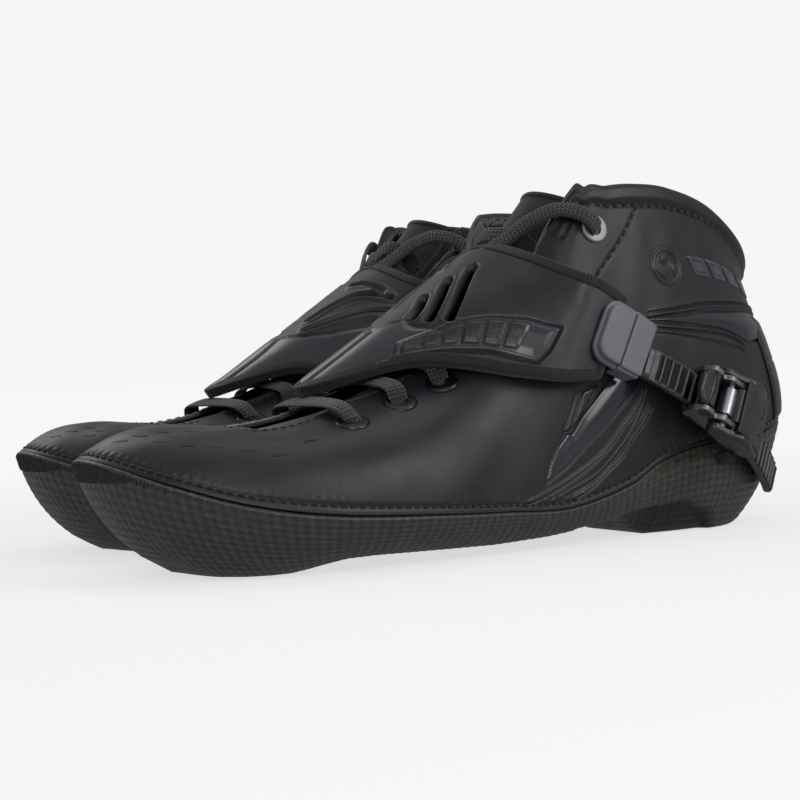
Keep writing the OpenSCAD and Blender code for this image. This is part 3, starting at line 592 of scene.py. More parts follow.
def upper_relief(p, t, v):
    """Height of the outer skin in millimetres, and its gloss and painted light: 1 is gloss, above 1
    a painted highlight on a crest, -1 painted shade in a crevice.
    """
    h = np.zeros(t.shape)
    film = np.zeros(t.shape)
    groove = np.zeros(t.shape)
    for line, crest in CREASES:
        for way in (line, mirrored(line)):
            d, s = crease(p, t, v, way)
            ends = smooth_step(s * 9) * smooth_step((1 - s) * 9)
            h += crest * (1.1 * ridge(d - 0.7, 0.45, 0.8) - 1.3 * ridge(d + 0.15, 0.4, 0.7)) * ends
            # Gloss on each crease's crest, raised above 1 into a painted highlight; the groove
            # beside it gets painted shade
            film = np.maximum(film, (1 + 0.6 * crest) * ridge(d - 0.8, 0.15, 0.45) * ends)
            groove = np.maximum(groove, ridge(d + 0.2, 0.35, 0.5) * ends)
    for outline, bulge in BLADES:
        for way in (outline, mirrored(outline)):
            inner, signed = patch(p, t, v, skin, np.array(way), 0.45)
            h += inner * (0.3 + bulge * smooth_step(signed / 5)) - ridge(signed + 0.25, 0.4, 0.9)
            film = np.maximum(film, inner)
            groove = np.maximum(groove, ridge(signed + 0.3, 0.4, 0.5))
    for outline in both(SMALL_BLADES):
        inner, signed = patch(p, t, v, skin, np.array(outline), 0.4)
        h += inner * 0.5 * smooth_step(signed / 1.2) - ridge(signed, 0.35, 0.8)
        film = np.maximum(film, inner * 0.6)
        groove = np.maximum(groove, ridge(signed, 0.35, 0.5))
    for side_t in (RING_AT[0], STATIONS - RING_AT[0]):
        off = p - skin(np.array(side_t), np.array(RING_AT[1]))
        d = np.linalg.norm(off, axis=-1)
        swirl = np.sin(np.arctan2(off[..., 2], off[..., 1]) * 3 + d * 0.55)
        ring = ridge(d - RING_R[0], 0.55, 0.5)
        spokes = ridge(d - RING_R[1], 1.5, 0.5) * smooth_step(swirl * 2.5 + 0.5)
        h += 1.3 * ring + 1.2 * spokes - 0.6 * (ridge(d - RING_R[0] - 1.1, 0.3, 0.4)
                                                + ridge(d - RING_R[0] + 1.1, 0.3, 0.4))
        # Painted highlight on the ring and spokes; the grooves and the disc inside the ring get
        # painted shade
        film = np.maximum(film, 1.35 * np.maximum(ring, spokes))
        groove = np.maximum(groove, 0.8 * smooth_step((RING_R[0] - d) / 0.4)
                            * (1 - np.maximum(ring, spokes)))
    for low, high in ((CUFF_BLOCKS_LOW, CUFF_BLOCKS_HIGH),
                      (mirrored(CUFF_BLOCKS_LOW), mirrored(CUFF_BLOCKS_HIGH))):
        rise, lines = blocks_relief(p, t, v, skin, low, high, 4)
        h += rise
        # Painted highlight on the block tops; painted shade in the grooves around them
        film = np.maximum(film, 1.2 * smooth_step(rise / 0.4))
        groove = np.maximum(groove, lines)
    for line in both([CUFF_SEAM]):
        d, _ = distance_to(p, on_surface(skin, line, 120))
        h -= ridge(d, 0.9, 0.55)
        groove = np.maximum(groove, ridge(d, 0.5, 0.5))
    for line in both(SEAMS):
        d, _ = distance_to(p, on_surface(skin, line))
        h -= ridge(d, 0.7, 0.35)
        groove = np.maximum(groove, ridge(d, 0.35, 0.35))
    # The grooves, seams and blade outlines become painted shade
    return h, film * (1 - groove) - groove


def slot_lines():
    """Centre line of every toe slot, in millimetres, with the skin's direction there."""
    lines = []
    for t0, v0 in TOE_SLOTS:
        p = skin(np.array([t0]), np.array([v0]))[0]
        d = skin(np.array([t0 - 0.1]), np.array([v0 + 0.012]))[0] - p
        f = np.array([-2.5, 0, 2.5]) / np.linalg.norm(d)
        for m in (False, True):
            t, v = t0 - 0.1 * f, v0 + 0.012 * f
            t = STATIONS - t if m else t
            lines.append((skin(t, v), normal_of(skin, t, v)))
    return lines


def upper_columns():
    """Stations of the mesh, closest together where the relief is finest."""
    t = np.concatenate([np.arange(0, 1.8, 1 / 48), np.arange(1.8, 6.95, 1 / 80),
                        np.arange(6.95, 13, 1 / 32)])
    return np.concatenate([t, [TOE], STATIONS - t[:0:-1]])


def upper_mesh(soup):
    """Closed leather skin: outer face with relief, rolled top edge, inner face, skived rim."""
    t = upper_columns()
    run = lengths(skin(np.append(t, STATIONS), np.full(len(t) + 1, 0.1)))
    height = tall(skin, t)
    cuff = smooth_step((CUFF_END + CUFF_FADE - around_heel(t)) / CUFF_FADE)
    top_t = SKIN_T + 3.3 * cuff
    low, high = RIM_GAP / height, 1 - throat_cut(t) - top_t / 2 / height * 0.96
    k = np.concatenate([[0, 0.003, 0.008], np.linspace(0.014, 0.62, 150),
                        np.linspace(0.625, 1, 72)])
    tt = np.repeat(t[:, None], len(k), 1)
    vv = low[:, None] + (high - low)[:, None] * k
    base = skin(tt, vv)
    n = normal_of(skin, tt, vv)
    # The gloss values here also carry the relief's painted highlights and painted shade
    h, gloss = upper_relief(base, tt, vv)
    for line, _ in slot_lines():
        d, _ = distance_to(base, line)
        h -= 0.35 * ridge(d, 0.4, 0.5)
    # The padded roll along the cuff, and the turned edge along the throat
    from_top = (1 - throat_cut(tt) - vv) * height[:, None]
    h += cuff[:, None] * 1.3 * smooth_step((8.2 - from_top) / 2.5)
    throat = (1 - cuff)[:, None]
    front = band_mask(around_heel(tt), 5.75, 7.4, 0.5)
    h += front * (0.45 * smooth_step((3.0 - from_top) / 0.5)
                  - 0.3 * ridge(from_top - 3.3, 0.35, 0.4))
    gloss = np.maximum(gloss, front * 0.45 * smooth_step((2.8 - from_top) / 0.6))
    h -= throat * ridge(from_top - 3.2, 0.55, 0.3)
    from_rim = vv * height[:, None]
    h -= ridge(from_rim - 3.2, 0.75, 0.4) - 0.2 * smooth_step(1 - from_rim / 1.5)
    h += ridge(from_rim - 4.8, 1.0, 0.14) * np.sin(run[:-1, None] * 2 * np.pi / 3.4)
    # Faint drape, so that the skin isn't a perfect surface
    h += (0.22 * np.sin(tt * 4.3 + 2.2 * vv) * np.sin(vv * 9 + tt * 1.7)
          * band_mask(vv, 0.12, 0.8, 0.1))
    outer = base + n * h[..., None]

    top_n, top_base, top_h = n[:, -1], base[:, -1], h[:, -1]
    lift = unit(skin(t, high + 0.01) - skin(t, high - 0.01))
    radius = (top_t + top_h) / 2
    centre = top_base + top_n * (top_h - radius)[:, None]
    ang = np.linspace(np.pi / 2, -np.pi / 2, 11)[1:-1]
    cap = (centre[:, None] + top_n[:, None] * (radius[:, None] * np.sin(ang))[..., None]
           + lift[:, None] * (top_t[:, None] / 2 * np.cos(ang))[..., None])

    k_in = np.linspace(1, 0, 34)
    ti = np.repeat(t[:, None], len(k_in), 1)
    vi = low[:, None] + (high - low)[:, None] * k_in
    from_top_i = (1 - throat_cut(ti) - vi) * height[:, None]
    roll = top_t[:, None] + (SKIN_T - top_t)[:, None] * smooth_step((from_top_i - 4) / 2.5)
    thick = RIM_T + (roll - RIM_T) * smooth_step(vi * height[:, None] / 7)
    inner = skin(ti, vi) - normal_of(skin, ti, vi) * thick[..., None]

    loop = np.concatenate([outer, cap, inner], 1)
    gloss_all = np.concatenate([gloss, np.zeros(cap.shape[:2]), np.zeros(inner.shape[:2])], 1)
    u, v = net(run, np.arange(loop.shape[1] + 1) * 0.7)
    soup.grid(loop, wrap_r=True, wrap_c=True, u=u, v=v, value=gloss_all)


def stitch_surface(soup, line, lift, count=160, **kw):
    """Stitches along a line drawn in (t, v)."""
    ab = along(line, np.linspace(0, 1, count))
    p = skin(ab[:, 0], ab[:, 1])
    stitches(soup, p, normal_of(skin, ab[:, 0], ab[:, 1]), lift, **kw)


def slot_threads(soup):
    """Frayed dark lips of the toe slots."""
    for line, n in slot_lines():
        capsule(soup, line[0] - n[0] * 0.35, line[-1] - n[-1] * 0.35, 0.34)


def throat_edge(soup):
    """Light frayed fibres along the cut front edge of the throat."""
    for m in (False, True):
        t = np.linspace(9.85, 13, 255)
        v = 1 - throat_cut(t) - 0.3 / tall(skin, t)
        t = STATIONS - t if m else t
        n = normal_of(skin, t, v)
        k = np.arange(255)
        wobble = 0.25 * np.sin(k * 1.3) + 0.2 * np.sin(k * 2.9 + 1)
        lift = unit(skin(t, v + 0.01) - skin(t, v))
        size = 0.75 + 0.25 * np.sin(k * 0.9) * np.sin(k * 0.23)
        path = (skin(t, v) + n * (-0.5 + 0.4 * wobble)[:, None]
                + lift * (0.35 + 0.5 * wobble)[:, None])
        sweep(soup, path, n, oval(0.9, 0.8, 8), taper=size)


def upper_stitching(soup):
    t = np.linspace(0, STATIONS, 900)
    v = 3.2 / tall(skin, t)
    stitches(soup, skin(t, v), normal_of(skin, t, v), -0.1, length=2.3, gap=1.1, radius=0.4)
    for line in both([CUFF_SEAM]):
        stitch_surface(soup, line, -0.15, 260, length=2.2, gap=1.9, radius=0.42)
    for line in both(SEAMS):
        stitch_surface(soup, line, -0.05, length=2.2, gap=1.9, radius=0.42)
    # Along both sides of the throat and the cuff's front edge
    near = np.linspace(6.1, 12.6, 260)
    v = 1 - throat_cut(near) - (3.2 + 3.0 * band_mask(near, 5.9, 7.1, 0.9)) / tall(skin, near)
    for side_t in (near, STATIONS - near):
        stitches(soup, skin(side_t, v), normal_of(skin, side_t, v), -0.05, length=2.1, gap=1.7,
                 radius=0.36)


def carbon_fray(soup):
    """Loose fibres between the leather and the carbon below the quarter."""
    for k in range(170):
        f = k / 170
        t = 2.6 + 1.5 * f + 0.04 * math.sin(k * 7.3)
        w = 0.955 + 0.04 * math.sin(k * 2.9) * math.sin(k * 1.3)
        if math.sin(k * 0.31) + math.sin(k * 0.17 + 1) < -0.5:
            continue
        dt, dw = 0.06 + 0.05 * math.sin(k * 1.7), 0.03 * math.sin(k * 4.1)
        for m in (False, True):
            a = np.array([t, t + dt * 0.5, t + dt])
            b = np.array([w, w + dw, w + dw * 0.4])
            a = STATIONS - a if m else a
            p = side(a, b) + normal_of(side, a, b) * np.array([0.1, 0.35 + 0.2 * math.sin(k * 3.7),
                                                               0.15])[:, None]
            capsule(soup, p[0], p[1], 0.1, sides=5)
            capsule(soup, p[1], p[2], 0.08, sides=5)


# === Carbon shell

TOW = 1.7        # width of a carbon tow
WEAVE_H = 0.14   # height of the weave on the surface
UNDERCUT = 4.5   # depth of the recess under the heel's sides


def weave(u, v):
    """Twill relief: diagonal rows of small pillows, from arc lengths in millimetres."""
    a, b = (u + v) / (2 * TOW) * np.pi, (u - v) / (2 * TOW) * np.pi
    return WEAVE_H * np.sin(a) * np.sin(b)


def undercut(t, w):
    """Share of the heel's recess, below a line that rises from the waist towards the heel."""
    m = np.minimum(t, STATIONS - t)
    line = np.interp(m, [2.35, 2.7, 3.27, 3.99, 4.94, 5.4], [0, 0.3, 0.49, 0.48, 0.42, 0.33])
    return smooth_step((line - w) / 0.08) * band_mask(m, 2.35, 5.5, 0.35)


def shell_mesh(soup):
    """Closed tub: sides, rounded lower edge, underside, rim, inner wall and inner floor."""
    per = 30
    t = np.arange(0, STATIONS, 1 / per)
    half = len(t) // 2
    height = tall(side, t)
    # The edge between sides and underside is rounder at the toe
    base_round = 3.0 + 6.0 * np.exp(-(((t - TOE) / 3.2) ** 2))
    start_w = base_round / height
    k = np.linspace(0, 1, 68)
    tt = np.repeat(t[:, None], len(k), 1)
    ww = start_w[:, None] + (1 - start_w)[:, None] * k
    base = side(tt, ww)
    n = normal_of(side, tt, ww)
    run = lengths(side(np.append(t, STATIONS), np.full(len(t) + 1, 0.5)))
    # A whole number of tows fits round the boot, so the weave closes on itself
    run *= 2 * TOW * round(run[-1] / (2 * TOW)) / run[-1]
    up = ww * height[:, None]
    relief = weave(run[:-1, None], up) * band_mask(ww, 0.06, 0.93, 0.05)
    # Rough trimmed edge under the leather
    fray = (0.16 * np.sin(run[:-1] * 1.9) * np.sin(run[:-1] * 0.73 + 1)
            + 0.1 * np.sin(run[:-1] * 4.1))
    relief += smooth_step((ww - 0.9) / 0.08) * (0.12 + fray[:, None] * 0.6)
    flat = unit(normal_of(side, t, 0.5 + 0 * t) * np.array([1, 1, 0]))
    outer = base + n * relief[..., None] - flat[:, None] * (UNDERCUT * undercut(tt, ww))[..., None]

    # Lower edge: a quarter round from the side to the underside
    low = side(t, start_w) - flat * (UNDERCUT * undercut(t, start_w))[:, None]
    corner = side(t, 0 * t) - flat * (UNDERCUT * undercut(t, 0 * t))[:, None]
    opposite = corner[(-np.arange(len(t))) % len(t)]
    across = opposite - corner
    span = np.maximum(np.linalg.norm(across, axis=1), 1e-6)
    reach = np.minimum(base_round, span * 0.45)
    foot = corner + across / span[:, None] * reach[:, None]
    f = np.linspace(0, 1, 13)[1:][::-1]
    q = f[None, :, None]
    lower = (1 - q) ** 2 * low[:, None] + 2 * q * (1 - q) * corner[:, None] + q ** 2 * foot[:, None]

    # Rim and inner wall
    rim_n = normal_of(side, t, 1 + 0 * t)
    rim = side(t, 1 + 0 * t)
    rise = unit(side(t, 1 + 0 * t) - side(t, 0.98 + 0 * t))
    ang = np.linspace(np.pi / 2, -np.pi / 2, 7)[1:-1]
    cap = (rim[:, None] - rim_n[:, None] * CARBON_T / 2
           + rim_n[:, None] * (CARBON_T / 2 * np.sin(ang))[None, :, None]
           + rise[:, None] * (0.6 * np.cos(ang))[None, :, None])
    floor_w = 0.45
    w_in = np.linspace(1, floor_w, 10)
    ti, wi = net(t, w_in)
    inner = side(ti, wi) - normal_of(side, ti, wi) * CARBON_T

    loop = np.concatenate([lower, outer, cap, inner], 1)
    u, v = net(run, np.arange(loop.shape[1]) * 0.55)
    # Painted shade: the recess under the heel's sides is marked here so that the carbon's colour is
    # darkened there
    shade = np.zeros(loop.shape[:2])
    shade[:, :lower.shape[1]] = -undercut(t, 0 * t)[:, None]
    shade[:, lower.shape[1]:lower.shape[1] + outer.shape[1]] = -undercut(tt, ww)
    soup.grid(loop, wrap_r=True, u=u, v=v, value=shade)

    # Underside and inner floor, bridged from side to side
    order = np.arange(half + 1)
    mirror_order = (-order) % len(t)
    for edge, flip in ((lower[:, 0], True), (inner[:, -1], False)):
        a, b = edge[order], edge[mirror_order]
        k = np.linspace(0, 1, 41)[None, :, None]
        sheet = a[:, None] + (b - a)[:, None] * k
        d = np.linalg.norm(np.diff(sheet, axis=1), axis=2).mean()
        su, sv = net(run[order], np.arange(41) * d)
        soup.grid(sheet, u=su, v=sv, flip=flip)


# === Lining, footbed, heel counter, toe bumper


def lining_mesh(soup):
    t = edge_steps(-5.5, 5.5, 0.06, 0.06)
    v = edge_steps(0.08, 0.955, 0.014, 0.03)
    inward = -SKIN_T - LAYER_GAP
    pillow(soup, skin, 1, t, v, inward, inward - LINING_T, edge=1.6)


def counter_relief(p, t, v):
    """Raised border, a step across the middle and faint ribs below it."""
    step = -ridge((v - 0.36) * 90 + 2.5 * (t + 0.2), 0.5, 0.45)
    ribs = 0.16 * np.cos((v - 0.2) * 2 * np.pi
                         / 0.06) * band_mask(v, 0.1, 0.3, 0.04) * band_mask(t, -1.2, 0.8, 0.25)
    return step + ribs + 0.3 * smooth_step((v - 0.36) / 0.1)


def counter_mesh(soup):
    t = edge_steps(-1.9, 1.5, 0.03, 0.05)
    v = edge_steps(0.04, 0.55, 0.008, 0.02)
    pillow(soup, skin, 1, t, v, 1.0, -0.4, edge=1.8, relief=counter_relief)


def bumper_relief(p, t, w):
    return 0.18 * np.sin(p[..., 0] * 2.9 + p[..., 2]) * np.sin(p[..., 2] * 3.3 + p[..., 1] * 1.4)


def bumper_mesh(soup):
    """Rough patch under the tip of the toe, tallest in the middle."""
    def surface(t, k):
        low = 0.86 + 0.08 * ((t - TOE) / 1.3) ** 2
        return side(t, low + (0.998 - low) * k)
    t = edge_steps(TOE - 1.3, TOE + 1.3, 0.02, 0.03)
    k = edge_steps(0, 1, 0.06, 0.1)
    pillow(soup, surface, 1, t, k, 0.5, -0.4, edge=0.5, relief=bumper_relief)


def whiskers(soup):
    """Thread ends and the frayed edge of the felt between leather and carbon at the toe."""
    for k, t in enumerate(np.arange(TOE - 2.5, TOE + 2.5, 0.06)):
        away = abs(t - TOE)
        if away < 1.05:
            continue
        a = np.array([t])
        reach = 0.05 * (1 - (away - 1.05)
                        / 1.5) + 0.008 * math.sin(k * 2.4) + 0.006 * math.sin(k * 5.1)
        w0, w1 = np.array([1.0]), np.array([0.985 - max(reach, 0.012)])
        p = side(a, w0)[0] + normal_of(side, a, w0)[0] * 0.5
        q = side(a + 0.02, w1)[0] + normal_of(side, a, w1)[0] * 0.35
        capsule(soup, p, q, 0.34, sides=6)


def footbed_surface(lift):
    def surface(t, k):
        a, b = (side(x, 0.45 + 0 * x) - normal_of(side, x, 0.45 + 0 * x) * (CARBON_T + 1)
                for x in (t, STATIONS - t))
        p = a + (b - a) * k[..., None]
        p[..., 2] += lift + 1.4 * (2 * k - 1) ** 4
        return p
    return surface


def footbed_mesh(soup):
    t = edge_steps(0.6, TOE - 0.6, 0.1, 0.05)
    k = edge_steps(0.03, 0.97, 0.03, 0.03)
    pillow(soup, footbed_surface(0.5), -1, t, k, 3.0, 0.0, edge=1.4)


# === Tongue, eyelets and laces

# Outer face of the tongue along the middle: y, z and half its width
TONGUE = [(-101, 41, 18), (-66, 47, 15.5), (-46, 52.5, 15), (-26, 62.5, 15.5), (-8, 77, 16),
          (9, 96, 16.5), (25, 115, 15.5), (38, 130.5, 13)]
TONGUE_T, TONGUE_SAG, TONGUE_WRAP = 4.0, 5.0, 9.0


def tongue_surface(u, k):
    q = along(TONGUE, u)
    d = unit(along(TONGUE, u + EPS)[..., :2] - along(TONGUE, u - EPS)[..., :2])
    sag = (TONGUE_SAG + TONGUE_WRAP * smooth_step((u - 0.6) / 0.35)) * k * k
    y = q[..., 0] + d[..., 1] * sag
    z = q[..., 1] - d[..., 0] * sag * (1 - smooth_step((u - 0.6) / 0.35) * 0.45)
    return np.stack([k * q[..., 2], y, z], -1)


def tongue_mesh(soup):
    u = edge_steps(0, 1, 0.006, 0.012)
    k = edge_steps(-1, 1, 0.05, 0.12)
    pillow(soup, tongue_surface, -1, u, k, 0, -TONGUE_T, edge=1.9)


def tongue_edging(soup):
    """Turned fabric edge around the top of the tongue."""
    left_edge = [(0.62 + 0.37 * f, -0.93) for f in np.linspace(0, 1, 30)]
    top = [(0.985, -0.93 + 1.86 * f) for f in np.linspace(0, 1, 40)[1:-1]]
    ab = np.array(left_edge + top + [(u, -k) for u, k in left_edge[::-1]])
    p = tongue_surface(ab[:, 0], ab[:, 1])
    n = normal_of(tongue_surface, ab[:, 0], ab[:, 1], -1)
    sweep(soup, p - n * TONGUE_T / 2, n, oval(3.0, TONGUE_T + 1.2, 18, 3))


def tongue_strip(soup):
    """Webbing strip down the middle of the tongue."""
    u = edge_steps(0.58, 0.985, 0.006, 0.01)
    k = edge_steps(-0.42, 0.12, 0.03, 0.06)
    pillow(soup, tongue_surface, -1, u, k, 1.4, -0.2, edge=0.7)


def tongue_toe(soup):
    """Frayed felt end of the tongue inside the front of the throat."""
    for lo, hi, rise in ((-0.9, -0.2, 1.4), (0.1, 0.95, 0.6)):
        u = edge_steps(0.015, 0.13, 0.006, 0.01)
        k = edge_steps(lo, hi, 0.05, 0.08)
        pillow(soup, tongue_surface, -1, u, k, 1.2 + rise, 0.1, edge=0.6)


def at_skin(t, v, off):
    a, b = np.array([float(t)]), np.array([float(v)])
    return skin(a, b)[0] + normal_of(skin, a, b)[0] * off


def skin_dir(t, v):
    return normal_of(skin, np.array([float(t)]), np.array([float(v)]))[0]


def eyelet_ring(soup, t, v, outer_r, hole_r, proud):
    """Pressed ring with a rolled rim and a barrel down through the skin."""
    c, n = at_skin(t, v, 0), skin_dir(t, v)
    x = unit(np.cross((0, 0, 1.0), n))
    y = np.cross(n, x)
    mid = (outer_r + hole_r) / 2
    profile = [(hole_r + 0.45, -SKIN_T - 0.5), (hole_r, -SKIN_T), (hole_r, proud * 0.2),
               (hole_r + 0.2, proud * 0.85),
               (mid, proud), (outer_r - 0.45, proud * 0.9), (outer_r, proud * 0.3),
               (outer_r - 0.1, -0.2),
               (hole_r + 0.5, -0.2)]
    r, h = along(np.array(profile + profile[:1]), np.linspace(0, 1, 37))[:-1].T
    ring = circle(1, 48)[:, None]
    p = c + n * h[None, :, None] + (ring[..., :1] * x + ring[..., 1:] * y) * r[None, :, None]
    soup.grid(p, wrap_r=True, wrap_c=True)


LACE_W, LACE_TH = 6.6, 1.5


def lace_run(soup, points, normals, count=90, width=LACE_W):
    """Flat braided lace through points, with an outward direction at each."""
    u = np.linspace(0, 1, count)
    sweep(soup, along(points, u), unit(along(normals, u)), oval(width, LACE_TH, 20, 2.6))


def lace_mesh(soup):
    """Bars from eyelet to eyelet over the tongue, and the run up to the top eyelets."""
    up = np.array([0, -0.45, 0.9])
    for k, (t, v) in enumerate(LOWER_EYELETS):
        a, b = at_skin(STATIONS - t, v, 0), at_skin(t, v, 0)
        na, nb = skin_dir(STATIONS - t, v), skin_dir(t, v)
        # The second and third bars lean towards the strap, and each dips into its eyelets
        lean = np.array([0, (-1.5, 2.5, 3.0)[k], 0])
        mid = (a + b) / 2 + up * (8.0, 9.0, 9.0)[k] + lean
        pts = [a - na * 1.6, a + na * 1.9 + unit(b - a) * 1.2,
               a + (mid - a) * 0.3 + na * 4.2 + lean * 0.4, mid,
               b + (mid - b) * 0.3 + nb * 4.2 + lean * 0.4, b + nb * 1.9 + unit(a - b) * 1.2,
               b - nb * 1.6]
        lace_run(soup, pts, [na, na, (na + up) / 2, up, (nb + up) / 2, nb, nb])
    for m in (1, -1):
        t, v = (TOP_EYELET[0] if m > 0 else STATIONS - TOP_EYELET[0]), TOP_EYELET[1]
        e, n = at_skin(t, v, 0), skin_dir(t, v)
        front = np.array([0.35 * m, -0.85, 0.4])
        pts = [(3 * m, 6, 106), (11 * m, 13, 112), (20 * m, 20, 119), (28 * m, 27, 122.5),
               (34 * m, 34.5, 120),
               e + n * 1.6, e - n * 2.0]
        lace_run(soup, pts, [front, front, (0.5 * m, -0.75, 0.45), (0.7 * m, -0.45, 0.55),
                             (0.85 * m, -0.3, 0.5), n, n])
        # The laces cross flat on the tongue above the strap
        tilt = 2.0 * m
        pts = [(-17 * m, 17, 104 + tilt), (-9 * m, 13.5, 110 + tilt), (0, 12, 114.5 + 0.8 * m),
               (8 * m, 15, 117 - tilt), (13 * m, 20, 115 - tilt), (16 * m, 26, 108 - tilt)]
        lace_run(soup, pts, [(-0.5 * m, -0.8, 0.3), (-0.25 * m, -0.85, 0.4), (0, -0.85, 0.5),
                             (0.3 * m, -0.8, 0.5), (0.6 * m, -0.6, 0.4), (0.8 * m, -0.4, 0.2)], 70)


# === Instep strap

# In (s, w) on the strap: the raised panel, the glossy nose's inner border and the vent slots
PANEL = [(0.54, 0.05), (0.522, 0.18), (0.55, 0.24), (0.575, 0.335), (0.613, 0.395), (0.67, 0.435),
         (0.76, 0.4),
         (0.76, 0.2), (0.742, 0.075), (0.7, 0.095), (0.655, 0.11), (0.605, 0.07), (0.565, 0.03)]
# Lower and upper border of the row of slanted blocks on the panel
BLOCKS_LOW = [(0.54, 0.085), (0.577, 0.1), (0.61, 0.135), (0.65, 0.155), (0.69, 0.165)]
BLOCKS_HIGH = [(0.53, 0.175), (0.562, 0.225), (0.592, 0.315), (0.632, 0.37), (0.685, 0.395)]
BLOCKS = 6
GLOSS_NOSE = [(0.385, -0.1), (0.385, 0.2), (0.4, 0.38), (0.48, 0.41), (0.515, 0.33), (0.545, 0.29),
              (0.56, 0.27), (0.535, 0.16), (0.545, 0.05), (0.56, -0.1)]
VENTS = [((0.492, 0.82), (0.555, 0.38)), ((0.472, 0.71), (0.524, 0.39)),
         ((0.463, 0.58), (0.49, 0.42))]
INNER_WAVES = [
    [(0.39, 0.82), (0.36, 0.84), (0.32, 0.83), (0.28, 0.8)],
    [(0.385, 0.5), (0.372, 0.61), (0.345, 0.71), (0.3, 0.75), (0.25, 0.77)],
    [(0.36, 0.4), (0.32, 0.48), (0.28, 0.58), (0.24, 0.64), (0.2, 0.68)],
]
INNER_GLOSS = [(0.44, -0.1), (0.44, 0.35), (0.39, 0.38), (0.34, 0.33), (0.297, 0.33), (0.245, 0.44),
               (0.2, 0.58), (0.17, 0.3), (0.25, -0.1)]


def strap_relief(p, s, w):
    # Painted light on the strap: values above 1 are painted highlights on the panel edge, block
    # tops, vent lips and wave crests; grooves and vent slots get painted shade
    h, film, groove = (np.zeros(s.shape) for _ in range(3))
    inner, signed = patch(p, s, w, strap, np.array(PANEL), 0.5)
    h += inner * 0.4 + 0.6 * ridge(signed - 1.3, 0.4, 0.4) - ridge(signed, 0.45, 0.8)
    h += inner * 0.7 * smooth_step(signed / 5)
    film = np.maximum(film, inner * (0.35 + 0.65 * smooth_step((s - 0.655) / 0.03)))
    film = np.maximum(film, 1.3 * ridge(signed + 1.1, 0.2, 0.4))
    groove = np.maximum(groove, ridge(signed, 0.4, 0.5))
    rise, lines = blocks_relief(p, s, w, strap, BLOCKS_LOW, BLOCKS_HIGH, BLOCKS)
    h += rise
    film = np.maximum(film, 1.4 * ridge(rise - 0.3, 0.05, 0.12))
    groove = np.maximum(groove, lines)
    for outline in (GLOSS_NOSE, INNER_GLOSS):
        inner, signed = patch(p, s, w, strap, np.array(outline), 0.6)
        h += (inner * 0.45 * smooth_step(signed / 3)
              - ridge(signed, 0.5, 0.5) * band_mask(w, 0.05, 1, 0.05))
        film = np.maximum(film, inner)
        groove = np.maximum(groove, 0.7 * ridge(signed + 0.2, 0.35, 0.4)
                            * band_mask(w, 0.05, 1, 0.05))
    for a, b in VENTS:
        line = on_surface(strap, [a, ((a[0] + b[0]) / 2 + 0.004, (a[1] + b[1]) / 2), b], 30)
        d, _ = distance_to(p, line)
        h += -2.6 * smooth_step((2.3 - d) / 0.8) + 0.8 * ridge(d - 2.8, 0.5, 0.6)
        # Painted shade inside the vent slots and a painted highlight on their lips
        film = np.maximum(film, 1.3 * ridge(d - 2.8, 0.3, 0.5))
        groove = np.maximum(groove, smooth_step((2.0 - d) / 0.6))
    for line in INNER_WAVES:
        d, q = distance_to(p, on_surface(strap, line, 40))
        h += 1.1 * ridge(d - 2.2, 0.8, 0.6) - ridge(d, 1.0, 0.9)
        film = np.maximum(film, 1.2 * ridge(d - 2.2, 0.5, 0.6))
        groove = np.maximum(groove, 0.8 * ridge(d, 0.7, 0.6))
    h += 0.15 * np.sin(s * 31 + w * 5) * np.sin(w * 8 + s * 9)
    return h, film * (1 - groove) - groove


def strap_mesh(soup):
    s = edge_steps(0, 1, 1 / 330, 0.006)
    w = edge_steps(0.0, 1.0, 1 / 100, 0.014)
    ss, ww = net(s, w)
    # The gloss values also carry the strap's painted highlights and painted shade
    h, gloss = strap_relief(strap(ss, ww), ss, ww)
    pillow(soup, strap, -1, s, w, 0, -STRAP_T, edge=1.2, relief=lambda p, a, b: h, value=gloss)


def binding_mesh(soup):
    """Ribbed tape folded over both long edges of the strap."""
    for w, side_sign in ((-0.004, 1), (1.004, -1)):
        s = np.linspace(0.03, 0.975, 900)
        edge = strap(s, w + 0 * s)
        n = normal_of(strap, s, w + 0 * s, -1)
        inward = unit(strap(s, w + 0.05 * side_sign + 0 * s) - edge)
        path = edge - n * STRAP_T / 2 + inward * 0.9
        ribs = 1 + 0.04 * np.cos(2 * np.pi * lengths(path) / 1.1)
        sweep(soup, path, n, oval(4.3, STRAP_T + 1.1, 26, 6.0), taper=ribs)


def binding_corner(soup):
    """Tape across the strap's wide end, beside the clamp."""
    for lo, hi in ((-0.004, 0.13), (0.87, 1.004)):
        w = np.linspace(lo, hi, 50)
        s = 0.975 + 0 * w
        p = strap(s, w)
        n = normal_of(strap, s, w, -1)
        sweep(soup, p - n * STRAP_T / 2, n, oval(3.6, STRAP_T + 1.5, 20, 3.4))

# === Clamp and buckle: moulded shapes in the frames (u along the ladder, w across, n outwards)

CHANNEL_IN = LADDER_W / 2 + 0.6
CHEEK_OUT = CHANNEL_IN + 2.2
ARM_IN, ARM_OUT = CHEEK_OUT + 0.3, CHEEK_OUT + 2.3
BAR_TOP, BAR_BOTTOM = -TOOTH_H, -TOOTH_H - LADDER_T
FLOOR_TOP, FLOOR_T, BOSS_H = BAR_BOTTOM - 0.7, 1.8, 2.8
LEVER_PIN, LOCK_PIN = (1, 4.2), (-8.5, 3.6)
LEVER_PIN_R = 1.5


def at_buckle(p):
    return in_arc(BUCKLE_S, p)


